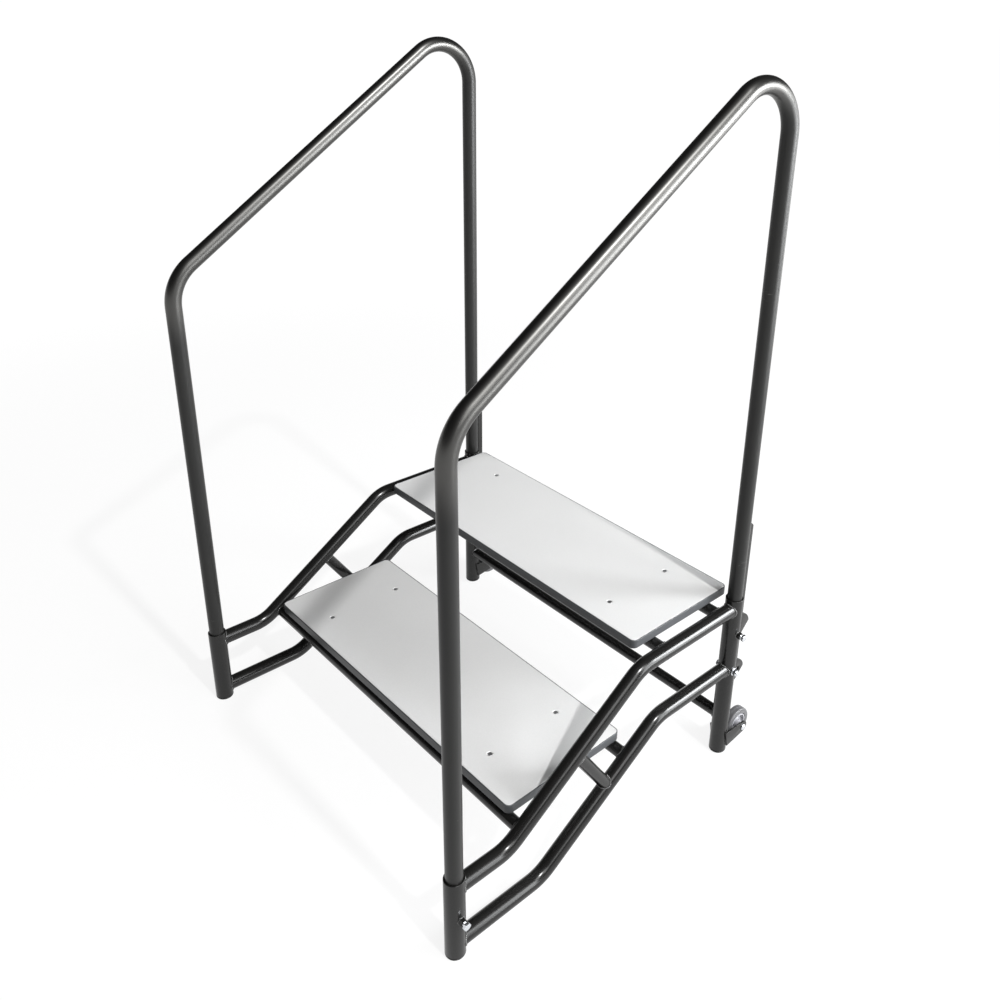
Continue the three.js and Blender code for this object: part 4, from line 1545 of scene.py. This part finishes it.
@dataclass
class HandrailBolts:
    """Set bolts in weld nuts, and through bolts with domed nuts, that hold the handrail posts."""

    shop: Workshop
    across_flats: float = 13.0 * MILLIMETRE
    bolt_radius: float = 4.0 * MILLIMETRE
    thread_pitch: float = 1.25 * MILLIMETRE
    thread_depth: float = 0.45 * MILLIMETRE
    flange_radius: float = 8.5 * MILLIMETRE
    flange_height: float = 1.6 * MILLIMETRE
    nut_height: float = 6.5 * MILLIMETRE
    weld_nut_height: float = 8.0 * MILLIMETRE
    weld_nut_bore: float = 4.3 * MILLIMETRE
    weld_nut_sink: float = 3.0 * MILLIMETRE
    stand_off: float = 4.0 * MILLIMETRE
    bite: float = 8.0 * MILLIMETRE
    head_height: float = 5.3 * MILLIMETRE
    end_past_nut: float = 2.0 * MILLIMETRE
    dome_height: float = 4.5 * MILLIMETRE
    dome_share: float = 0.86
    dome_sweep: float = 84.0
    dome_steps: int = 7
    flange_top_share: float = 0.8
    chamfer_share: float = 0.97
    chamfer_angle: float = 30.0
    seam_radius: float = 1.2 * MILLIMETRE
    side_samples: int = 6

    def __post_init__(self) -> None:
        """Reads the leg's and the post's radius from the CAD nodes."""
        self.leg_radius = half_width("right_front_leg")
        self.seat = self.leg_radius + SEAT_GAP
        self.post_radius = half_width("right_handrail")

    def build(self) -> None:
        """Makes both kinds of bolt and both kinds of nut."""
        set_bolts = ("front_handrail_bolt", "rear_handrail_upper_bolt")
        weld_nuts = ("front_handrail_nut", "rear_handrail_upper_nut")
        through_bolts = ("rear_handrail_lower_bolt",)
        dome_nuts = ("rear_handrail_lower_nut",)
        self._set_out("handrail_set_bolts", self._set_bolt(), set_bolts, ZINC)
        self._set_out("handrail_weld_nuts", self._weld_nut(), weld_nuts, FRAME_COAT)
        self._set_out("handrail_through_bolts", self._through_bolt(), through_bolts, ZINC)
        self._set_out("handrail_dome_nuts", self._dome_nut(), dome_nuts, ZINC)

    def _set_out(
        self, name: str, pattern: bpy.types.Object, nodes: Sequence[str], finish: Finish
    ) -> None:
        """Sets one pattern out at the places of its CAD nodes.

        Args:
            name: The finished piece's name.
            pattern: The pattern, pointing along +X from the leg's axis.
            nodes: The CAD nodes that it stands for, without the side.
            finish: The finish of the piece. A coated one is welded on, so it gets a seam.
        """
        points = []
        turns = []
        replaced = []
        for side in Side:
            for node in nodes:
                full = f"{side.word}_{node}"
                leg = "front" if node.startswith("front") else "rear"
                centre = middle(f"{side.word}_{leg}_leg")
                spot = Vector((centre.x, centre.y, middle(full).z))
                points.append(spot)
                turns.append(0.0 if side is Side.RIGHT else math.pi)
                replaced.append(full)
                if finish is FRAME_COAT:
                    self._nut_seam(spot, side)
        obj = self.shop.fasteners(name, pattern, points, turns)
        self.shop.deliver(obj, "stairs", finish, replaced)

    def _nut_seam(self, spot: Vector, side: Side) -> None:
        """Notes the weld bead where a weld nut meets its leg.

        Args:
            spot: The point on the leg's axis at the bolt's height.
            side: The side of the stairs.
        """
        bead = []
        for angle, reach in self._hexagon_reach():
            across = reach * math.sin(angle)
            out = math.sqrt(self.leg_radius ** 2 - across ** 2)
            bead.append(spot + Vector((side.value * out, across, reach * math.cos(angle))))
        self.shop.seam(bead, True, self.seam_radius)

    def _hexagon_reach(self) -> list[tuple[float, float]]:
        """Angles round a hexagon, and how far its side is from the axis at each.

        Returns:
            The angle and the distance of each sample.
        """
        flat = self.across_flats / 2
        samples = 6 * self.side_samples
        around = []
        for step in range(samples):
            angle = math.tau * step / samples
            sector = (angle + math.pi / 6) % (math.pi / 3) - math.pi / 6
            around.append((angle, flat / math.cos(sector)))
        return around

    def _chamfered_rings(self, height: float) -> list[list[tuple[float, float]]]:
        """The two rings that end a hexagon in a chamfered circle.

        Args:
            height: Where the hexagon ends.

        Returns:
            For each ring the radius and height of its points.
        """
        chamfer = self.across_flats / 2 * self.chamfer_share
        slant = math.tan(math.radians(self.chamfer_angle))
        around = self._hexagon_reach()
        return [
            [(reach, height - (reach - chamfer) * slant) for _, reach in around],
            [(chamfer, height)] * len(around),
        ]

    def _skin(self, name: str, rings: Sequence[Sequence[FlatPoint]]) -> bpy.types.Object:
        """Joins rings about Z into a closed skin with a cap at each end.

        Args:
            name: The object's name.
            rings: For each ring the radius and height of its points.

        Returns:
            The closed object.
        """
        angles = [angle for angle, _ in self._hexagon_reach()]
        loops = []
        for ring in rings:
            loops.append([(r * math.cos(a), r * math.sin(a), z) for (r, z), a in zip(ring, angles)])
        return lofted(name, loops, False)

    def _along_x(self, obj: bpy.types.Object, offset: float = 0.0) -> bpy.types.Object:
        """Turns a piece's axis from Z to X and shifts it along X."""
        return place(obj, Matrix.Translation((offset, 0, 0)) @ Matrix.Rotation(math.pi / 2, 4, "Y"))

    def _head(self) -> bpy.types.Object:
        """A bolt's hexagon head that stands on the plane Z = 0."""
        foot = [(reach, 0.0) for _, reach in self._hexagon_reach()]
        return self._skin("bolt_head", [foot, *self._chamfered_rings(self.head_height)])

    def _thread(self, start: float, end: float) -> list[FlatPoint]:
        """The profile of a thread between two heights, its crests at the bolt's radius.

        Args:
            start: Where the thread starts.
            end: Where it ends.

        Returns:
            Radius and height of each point.
        """
        root = self.bolt_radius - self.thread_depth
        turns = int((end - start) / self.thread_pitch)
        profile = []
        for turn in range(turns):
            height = start + turn * self.thread_pitch
            profile += [(root, height), (self.bolt_radius, height + self.thread_pitch / 2)]
        return [*profile, (root, end)]

    def _set_bolt(self) -> bpy.types.Object:
        """A fully threaded bolt whose head stands off the weld nut.

        Returns:
            The bolt, along X from the leg's axis.
        """
        base = self.seat + self.weld_nut_height + self.stand_off
        tip = self.post_radius - self.bite
        end = base + SEAT_GAP
        head = place(self._head(), Matrix.Translation((0, 0, base)))
        profile = [(0, tip), *self._thread(tip, end), (0, end)]
        shank = turned("bolt_shank", profile, SMALL_SIDES)
        return self._along_x(joined("set_bolt_pattern", [head, shank]))

    def _weld_nut(self) -> bpy.types.Object:
        """A hexagon nut whose foot follows the leg's round side, with a bore round the bolt.

        Returns:
            The nut, along X from the leg's axis.
        """
        top = self.seat + self.weld_nut_height
        foot = []
        for angle, reach in self._hexagon_reach():
            foot.append((reach, math.sqrt(self.leg_radius ** 2 - (reach * math.sin(angle)) ** 2)))
        lip = [(self.weld_nut_bore + self.thread_depth, top)] * len(foot)
        bore = [(self.weld_nut_bore, top - self.thread_depth)] * len(foot)
        floor = [(self.weld_nut_bore, top - self.weld_nut_sink)] * len(foot)
        rings = [foot, *self._chamfered_rings(top), lip, bore, floor]
        return self._along_x(self._skin("weld_nut_pattern", rings))

    def _dome_nut(self) -> bpy.types.Object:
        """A flanged nut with a dome.

        Returns:
            The nut, along X from the leg's outer side.
        """
        flange_profile = [
            (0, 0),
            (self.flange_radius, 0),
            (self.flange_radius, self.flange_height / 2),
            (self.flange_radius * self.flange_top_share, self.flange_height),
            (0, self.flange_height),
        ]
        flange = turned("flange", flange_profile, SMALL_SIDES)
        foot = [(reach, 0.0) for _, reach in self._hexagon_reach()]
        dome_radius = self.across_flats / 2 * self.dome_share
        squash = self.dome_height / dome_radius
        dome = []
        for across, up in arc((0, 0), dome_radius, 0, self.dome_sweep, self.dome_steps):
            dome.append([(across, self.nut_height + up * squash)] * len(foot))
        body = self._skin("nut_body", [foot, *self._chamfered_rings(self.nut_height), *dome])
        place(body, Matrix.Translation((0, 0, self.flange_height)))
        return self._along_x(joined("dome_nut_pattern", [flange, body]), self.seat)

    def _through_bolt(self) -> bpy.types.Object:
        """A bolt through the leg, its head on the inner side and its end inside the dome.

        Returns:
            The bolt, along X through the leg's axis.
        """
        head = place(self._head(), Matrix.Rotation(math.pi, 4, "X"))
        threaded = self.flange_height + self.nut_height + self.end_past_nut
        end = 2 * self.seat + threaded
        profile = [
            (0, -SEAT_GAP),
            (self.bolt_radius, -SEAT_GAP),
            (self.bolt_radius, end - threaded),
            *self._thread(end - threaded, end),
            (0, end),
        ]
        shank = turned("bolt_shank", profile, SMALL_SIDES)
        return self._along_x(joined("through_bolt_pattern", [head, shank]), -self.seat)


@dataclass
class HookPlates:
    """The plates on edge behind the rear legs, each with two blunt teeth."""

    shop: Workshop
    spine_depth: float = 14.0 * MILLIMETRE
    top_chamfer: float = 8.0 * MILLIMETRE
    tooth_drops: tuple[float, float] = (84.0 * MILLIMETRE, 204.5 * MILLIMETRE)
    shoulder_rise: float = 29.0 * MILLIMETRE
    shoulder_bulge: float = 6.0 * MILLIMETRE
    underside_drop: float = 26.0 * MILLIMETRE
    tip_height: float = 8.0 * MILLIMETRE
    hole_inset: float = 21.0 * MILLIMETRE
    hole_radius: float = 6.5 * MILLIMETRE
    edge: float = 0.8 * MILLIMETRE
    seam_radius: float = 1.5 * MILLIMETRE
    stitch_length: float = 34.0 * MILLIMETRE
    stitch_shares: tuple[float, float, float] = (0.12, 0.5, 0.88)
    curve_steps: int = 14

    def build(self) -> None:
        """Makes both plates and notes their stitch welds."""
        for side in Side:
            node = f"{side.word}_hook_plate"
            low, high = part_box(node)
            leg_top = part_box(f"{side.word}_rear_leg")[1].z
            tips = [leg_top - drop for drop in self.tooth_drops]
            outer = low.y + self.spine_depth
            outline = [
                (low.y, low.z),
                (low.y, high.z),
                (outer - self.top_chamfer, high.z),
                (outer, high.z - self.top_chamfer),
            ]
            for tip in tips:
                outline += self._tooth(outer, high.y, tip)
            hole = round_hole((high.y - self.hole_inset, tips[1]), self.hole_radius)
            obj = plate(f"{node}_bar", outline, hole, high.x - low.x, self.edge)
            place(obj, Matrix.Translation((middle(node).x, 0, 0)))
            self.shop.deliver(obj, "stairs", FRAME_COAT, [node])
            self._stitches(low, high, leg_top)

    def _tooth(self, root: float, reach: float, tip: float) -> list[FlatPoint]:
        """One tooth: a bulging shoulder, a blunt tip and a straight slanting underside.

        Args:
            root: Y of the spine's outer edge.
            reach: Y of the tooth's tip.
            tip: The tip's height.

        Returns:
            The tooth's outline from the top down.
        """
        half = self.tip_height / 2
        shoulder = Vector((root, tip + self.shoulder_rise))
        nose = Vector((reach, tip + half))
        bulge = (shoulder + nose) / 2 + Vector((self.shoulder_bulge, self.shoulder_bulge))
        points = []
        for step in range(self.curve_steps + 1):
            share = step / self.curve_steps
            points.append(shoulder.lerp(bulge, share).lerp(bulge.lerp(nose, share), share))
        chamfer = half * (reach - root) / (self.underside_drop - half)
        points += [Vector((reach, tip)), Vector((reach - chamfer, tip - half))]
        points.append(Vector((root, tip - self.underside_drop)))
        return [(point.x, point.y) for point in points]

    def _stitches(self, low: Vector, high: Vector, leg_top: float) -> None:
        """Notes short welds where the plate meets the leg.

        Args:
            low: The low corner of the plate's box.
            high: The high corner of the plate's box.
            leg_top: The leg's height.
        """
        for x in (low.x, high.x):
            for share in self.stitch_shares:
                centre = low.z + (leg_top - low.z) * share
                ends = [centre - self.stitch_length / 2, centre + self.stitch_length / 2]
                points = [Vector((x, low.y, height)) for height in ends]
                self.shop.seam(points, False, self.seam_radius)


@dataclass
class Wheels:
    """The rolling wheels behind the rear legs, with their cheeks and axles."""

    shop: Workshop
    cheek_slant: float = 8.0 * MILLIMETRE
    cheek_front_height: float = 39.5 * MILLIMETRE
    cheek_end_radius: float = 14.0 * MILLIMETRE
    cheek_end_steps: int = 20
    cheek_edge: float = 0.6 * MILLIMETRE
    axle_radius: float = 4.0 * MILLIMETRE
    axle_clearance: float = 0.3 * MILLIMETRE
    head_radius: float = 7.0 * MILLIMETRE
    head_height: float = 4.0 * MILLIMETRE
    head_rim_share: float = 0.35
    shoulder: float = 4.0 * MILLIMETRE
    tyre_thickness: float = 13.0 * MILLIMETRE
    rim_thickness: float = 3.0 * MILLIMETRE
    rim_round: float = 0.8 * MILLIMETRE
    web_half: float = 2.5 * MILLIMETRE
    boss_radius: float = 10.0 * MILLIMETRE
    nose_radius: float = 7.0 * MILLIMETRE
    bore_clearance: float = 0.1 * MILLIMETRE
    seam_radius: float = 1.5 * MILLIMETRE

    def build(self) -> None:
        """Makes both wheels."""
        for side in Side:
            centre = middle(f"{side.word}_wheel_axle")
            self._tyre(side, centre)
            self._hub(side, centre)
            self._axle(side, centre)
            for word in ("outer", "inner"):
                self._cheek(side, word, centre)

    def _stand(self, obj: bpy.types.Object, centre: Vector) -> bpy.types.Object:
        """Turns a piece's axis along X and puts it on the axle."""
        return place(obj, Matrix.Translation(centre) @ Matrix.Rotation(math.pi / 2, 4, "Y"))

    def _tyre(self, side: Side, centre: Vector) -> None:
        """Makes a tyre with round shoulders and a fine parting line.

        Args:
            side: The side of the stairs.
            centre: The middle of the axle.
        """
        node = f"{side.word}_wheel_tyre"
        half = half_width(node)
        radius = half_height(node)
        inner = radius - self.tyre_thickness
        ease = self.shoulder
        groove = self.rim_round
        profile = [
            (inner, -half + ease / 2),
            (inner + ease / 2, -half),
            *arc((radius - ease, -half + ease), ease, -90, 0),
            (radius, -groove / 2),
            (radius - groove / 2, 0),
            (radius, groove / 2),
            *arc((radius - ease, half - ease), ease, 0, 90),
            (inner + ease / 2, half),
            (inner, half - ease / 2),
        ]
        obj = self._stand(turned(f"{node}_ring", profile, WHEEL_SIDES), centre)
        self.shop.deliver(obj, f"{side.word}_wheel", TYRE_RUBBER, [node])

    def _hub(self, side: Side, centre: Vector) -> None:
        """Makes a hub with a raised rim, a dished web and a long boss.

        Args:
            side: The side of the stairs.
            centre: The middle of the axle.
        """
        node = f"{side.word}_wheel_hub"
        tyre = f"{side.word}_wheel_tyre"
        half = half_width(tyre)
        outer = half_height(tyre) - self.tyre_thickness - SEAT_GAP
        nose_end = half_width(node)
        bore = self.axle_radius + self.bore_clearance
        rim = outer - self.rim_thickness
        ease = self.rim_round
        upper = [
            (outer, half - ease),
            *arc((outer - ease, half - ease), ease, 0, 90, RIM_STEPS),
            *arc((rim + ease, half - ease), ease, 90, 180, RIM_STEPS),
            (rim, self.web_half + ease * 2),
            (rim - ease * 2, self.web_half),
            (self.boss_radius + ease * 2, self.web_half),
            (self.boss_radius, self.web_half + ease * 2),
            (self.boss_radius, half),
            (self.nose_radius, nose_end - ease),
            (self.nose_radius - ease, nose_end),
            (bore, nose_end),
        ]
        lower = [(radius, -height) for radius, height in reversed(upper)]
        obj = self._stand(turned(f"{node}_disc", [*lower, *upper], WHEEL_SIDES), centre)
        self.shop.deliver(obj, f"{side.word}_wheel", HUB_PLASTIC, [node])

    def _axle(self, side: Side, centre: Vector) -> None:
        """Makes an axle pin with domed heads.

        Args:
            side: The side of the stairs.
            centre: The middle of the axle.
        """
        node = f"{side.word}_wheel_axle"
        end = half_width(node)
        face = end - self.head_height
        dome = []
        for step in range(ARC_STEPS):
            angle = math.pi / 2 * step / ARC_STEPS
            rise = self.head_rim_share + (1 - self.head_rim_share) * math.sin(angle)
            dome.append((self.head_radius * math.cos(angle), face + self.head_height * rise))
        upper = [(self.axle_radius, face), (self.head_radius, face), *dome, (0, end)]
        lower = [(radius, -height) for radius, height in reversed(upper)]
        obj = self._stand(turned(f"{node}_pin", [*lower, *upper], SMALL_SIDES), centre)
        self.shop.deliver(obj, "stairs", ZINC, [node])

    def _cheek(self, side: Side, word: str, centre: Vector) -> None:
        """Makes one tapered cheek plate and notes the weld along its front edge.

        Args:
            side: The side of the stairs.
            word: Outer or inner.
            centre: The middle of the axle.
        """
        node = f"{side.word}_wheel_{word}_cheek"
        low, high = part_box(node)
        top = high.z
        front_top = (low.y, top)
        front_bottom = (low.y + self.cheek_slant, top - self.cheek_front_height)
        axle = (centre.y, centre.z)
        upper_angle = self._tangent(axle, front_top, 1)
        lower_angle = self._tangent(axle, front_bottom, -1)
        end = arc(axle, self.cheek_end_radius, lower_angle, upper_angle, self.cheek_end_steps)
        hole = round_hole(axle, self.axle_radius + self.axle_clearance)
        outline = [front_top, front_bottom, *end]
        obj = plate(f"{node}_plate", outline, hole, high.x - low.x, self.cheek_edge)
        place(obj, Matrix.Translation((middle(node).x, 0, 0)))
        self.shop.deliver(obj, "stairs", FRAME_COAT, [node])
        inner_x = low.x if middle(node).x > centre.x else high.x
        leg_y = middle(f"{side.word}_rear_leg").y
        seam_foot = Vector((inner_x, leg_y, front_bottom[1] + self.seam_radius))
        self.shop.seam([seam_foot, Vector((inner_x, leg_y, top))], False, self.seam_radius / 2)

    def _tangent(self, centre: FlatPoint, point: FlatPoint, sign: int) -> float:
        """The angle where a straight from a point touches the cheek's round end.

        Args:
            centre: The middle of the round end.
            point: The point.
            sign: One where the straight passes above the centre, minus one below it.

        Returns:
            The angle in degrees.
        """
        across = point[0] - centre[0]
        up = point[1] - centre[1]
        spread = math.degrees(math.acos(self.cheek_end_radius / math.hypot(across, up)))
        angle = math.degrees(math.atan2(up, across)) % 360
        return angle - sign * spread - (0 if sign > 0 else 360)


@dataclass
class Seams:
    """All the frame's weld seams, laid as one piece."""

    shop: Workshop
    pitch: float = 1.9 * MILLIMETRE
    depth_share: float = 0.16
    step: float = 0.45 * MILLIMETRE

    def build(self) -> None:
        """Lays every noted seam."""
        pieces = []
        for index, path in enumerate(self.shop.seams):
            name = f"seam_{index}"
            values = {
                "Radius": path.radius,
                "Pitch": self.pitch,
                "Ripple Depth": self.depth_share,
                "Step": self.step,
                "Finish": self.shop.materials[WELD_COAT.name],
            }
            carrier = link_path(name, path.points, path.closed)
            pieces.append(self.shop.tools.run(self.shop.tools.seam, carrier, name, values))
        obj = joined("weld_seams", pieces)
        self.shop.deliver(smooth(obj), "stairs", WELD_COAT)


@dataclass
class Straps:
    """The flat straps under the lower tread, which keep their CAD shape."""

    shop: Workshop

    def build(self) -> None:
        """Gives both straps the frame's coat."""
        for side in Side:
            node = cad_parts[f"{side.word}_lower_tread_strap"]
            node.data.materials.clear()
            node.data.materials.append(self.shop.materials[FRAME_COAT.name])


# Studio

DAYLIGHT = (0.97, 0.985, 1.0)


@dataclass(frozen=True)
class Lamp:
    """One soft area lamp, placed by its direction from the middle of the object."""

    name: str
    azimuth: float
    elevation: float
    distance: float
    size: tuple[float, float]
    watts: float
    color: Color = (1.0, 1.0, 1.0)
    target: tuple[float, float, float] = (0.0, 0.0, 0.5)

    def build(self) -> None:
        """Adds the lamp to the scene, facing its target."""
        data = bpy.data.lights.new(self.name, "AREA")
        data.shape = "RECTANGLE"
        data.size, data.size_y = self.size
        data.energy = self.watts
        data.color = self.color
        lamp = bpy.data.objects.new(self.name, data)
        bpy.context.scene.collection.objects.link(lamp)
        azimuth = math.radians(self.azimuth)
        elevation = math.radians(self.elevation)
        level = math.cos(elevation)
        away = Vector((level * math.cos(azimuth), level * math.sin(azimuth), math.sin(elevation)))
        lamp.location = Vector(self.target) + away * self.distance
        lamp.rotation_euler = (-away).to_track_quat("-Z", "Y").to_euler()


LAMPS = (
    Lamp("key", azimuth=-1.6, elevation=50.5, distance=12.0, size=(0.5, 0.5), watts=1060.0),
    Lamp("slope_box", azimuth=11.0, elevation=36.0, distance=4.0, size=(1.1, 1.1), watts=24.0),
    Lamp("front_box", azimuth=-15.0, elevation=31.0, distance=4.5, size=(1.6, 2.0), watts=44.0),
    Lamp("overhead_box", azimuth=-20.0, elevation=72.0, distance=6.0, size=(4.0, 4.0), watts=14.0),
    Lamp(
        "right_window", azimuth=30.0, elevation=9.0, distance=3.5, size=(1.9, 2.5), watts=135.0,
        color=DAYLIGHT,
    ),
    Lamp(
        "window_core", azimuth=43.0, elevation=17.0, distance=3.5, size=(0.9, 1.2), watts=90.0,
        color=DAYLIGHT,
    ),
    Lamp("rear_window", azimuth=68.0, elevation=8.0, distance=3.6, size=(1.7, 2.0), watts=42.0),
)


@dataclass
class Studio:
    """The pale floor with its low white wall, the world, the camera and the lamps."""

    floor_radius: float = 60.0
    wall_height: float = 5.0
    floor_sides: int = 96
    floor_color: Color = (0.45, 0.45, 0.45)
    background_level: float = 1.22
    near_share: float = 0.72
    far_share: float = 0.83
    near_reach: float = 1.6
    far_reach: float = 5.0
    world_level: float = 0.06
    camera_position: tuple[float, float, float] = (1.4070, -1.1033, 1.5793)
    yaw: float = 44.2063
    pitch: float = 22.8623
    roll: float = 2.7145
    picture_width: float = 1000.0
    focal_pixels: float = 963.83
    centre_pixel: tuple[float, float] = (597.45, 389.28)
    sensor_width: float = 36.0

    def build(self) -> None:
        """Makes the whole studio."""
        self._floor()
        self._world()
        self._camera()
        for lamp in LAMPS:
            lamp.build()
        bpy.context.scene.view_settings.view_transform = "Standard"

    def _seen(self, tree: bpy.types.NodeTree) -> bpy.types.NodeSocket:
        """One for rays from the camera, off gloss or through glass, and zero for the rest.

        Args:
            tree: The floor material's tree.

        Returns:
            The value's socket.
        """
        path = add_node(tree, "ShaderNodeLightPath")
        both = math_node(tree, "ADD", path.outputs["Is Camera Ray"], path.outputs["Is Glossy Ray"])
        total = math_node(tree, "ADD", both, path.outputs["Is Transmission Ray"])
        return math_node(tree, "MINIMUM", total, 1.0)

    def _background_share(self, tree: bpy.types.NodeTree) -> bpy.types.NodeSocket:
        """The plain white's share of the floor, less near the object so that its shadow shows.

        Args:
            tree: The floor material's tree.

        Returns:
            The share's socket.
        """
        place_node = add_node(tree, "ShaderNodeTexCoord")
        away = add_node(tree, "ShaderNodeVectorMath", operation="LENGTH")
        share = add_node(tree, "ShaderNodeMapRange", interpolation_type="SMOOTHSTEP")
        share.inputs["From Min"].default_value = self.near_reach
        share.inputs["From Max"].default_value = self.far_reach
        share.inputs["To Min"].default_value = self.near_share
        share.inputs["To Max"].default_value = self.far_share
        tree.links.new(place_node.outputs["Object"], away.inputs[0])
        tree.links.new(away.outputs["Value"], share.inputs["Value"])
        return share.outputs["Result"]

    def _floor(self) -> None:
        """Makes the floor disc and the low wall round it."""
        vertices = [(0.0, 0.0, 0.0)]
        for height in (0.0, self.wall_height):
            for step in range(self.floor_sides):
                angle = math.tau * step / self.floor_sides
                x = self.floor_radius * math.cos(angle)
                y = self.floor_radius * math.sin(angle)
                vertices.append((x, y, height))
        faces = []
        for step in range(self.floor_sides):
            here = 1 + step
            after = 1 + (step + 1) % self.floor_sides
            faces.append((0, here, after))
            faces.append((here, here + self.floor_sides, after + self.floor_sides, after))
        obj = link_mesh("studio_floor", vertices, faces)
        material = bpy.data.materials.new("studio_floor")
        material.use_nodes = True
        tree = material.node_tree
        tree.nodes.clear()
        matt = add_node(tree, "ShaderNodeBsdfDiffuse")
        matt.inputs["Color"].default_value = (*self.floor_color, 1.0)
        white = add_node(tree, "ShaderNodeEmission")
        white.inputs["Strength"].default_value = self.background_level
        mix = add_node(tree, "ShaderNodeMixShader")
        output = add_node(tree, "ShaderNodeOutputMaterial")
        share = math_node(tree, "MULTIPLY", self._seen(tree), self._background_share(tree))
        tree.links.new(share, mix.inputs["Fac"])
        tree.links.new(matt.outputs["BSDF"], mix.inputs[1])
        tree.links.new(white.outputs["Emission"], mix.inputs[2])
        tree.links.new(mix.outputs["Shader"], output.inputs["Surface"])
        obj.data.materials.append(material)

    def _world(self) -> None:
        """Makes a dim even world that the camera sees as plain white."""
        world = bpy.data.worlds.new("studio_world")
        bpy.context.scene.world = world
        world.use_nodes = True
        tree = world.node_tree
        background = tree.nodes["Background"]
        background.inputs["Color"].default_value = (1.0, 1.0, 1.0, 1.0)
        path = add_node(tree, "ShaderNodeLightPath")
        camera_ray = path.outputs["Is Camera Ray"]
        straight = math_node(tree, "ADD", camera_ray, path.outputs["Is Transmission Ray"])
        strength = math_node(tree, "MAXIMUM", straight, self.world_level)
        tree.links.new(strength, background.inputs["Strength"])

    def _camera(self) -> None:
        """Puts the camera where the photograph was taken from."""
        yaw = math.radians(self.yaw)
        pitch = math.radians(self.pitch)
        roll = math.radians(self.roll)
        level = math.cos(pitch)
        ahead = Vector((-math.sin(yaw) * level, math.cos(yaw) * level, -math.sin(pitch)))
        right = ahead.cross(UPRIGHT).normalized()
        above = right.cross(ahead)
        rolled_right = right * math.cos(roll) + above * math.sin(roll)
        rolled_above = above * math.cos(roll) - right * math.sin(roll)
        data = bpy.data.cameras.new("photo_camera")
        data.sensor_fit = "HORIZONTAL"
        data.sensor_width = self.sensor_width
        data.lens = self.focal_pixels / self.picture_width * self.sensor_width
        data.shift_x = (self.picture_width / 2 - self.centre_pixel[0]) / self.picture_width
        data.shift_y = (self.centre_pixel[1] - self.picture_width / 2) / self.picture_width
        data.clip_end = self.floor_radius * 4
        camera = bpy.data.objects.new("photo_camera", data)
        bpy.context.scene.collection.objects.link(camera)
        turn = Matrix((rolled_right, rolled_above, -ahead)).transposed()
        camera.matrix_world = Matrix.Translation(self.camera_position) @ turn.to_4x4()
        bpy.context.scene.camera = camera


class Assembly(Protocol):
    """Whatever main builds, one after another."""

    def build(self) -> None:
        """Makes its pieces."""


def main() -> None:
    """Builds every sub-assembly, then the studio."""
    logging.basicConfig(level=logging.INFO, format="%(name)s: %(message)s")
    shop = Workshop()
    assemblies: Sequence[Assembly] = (
        Legs(shop), SideFrames(shop), Handrails(shop), Treads(shop), HandrailBolts(shop),
        HookPlates(shop), Wheels(shop), Straps(shop), Seams(shop), Studio(),
    )
    for assembly in assemblies:
        assembly.build()


if __name__ == "__main__":
    main()
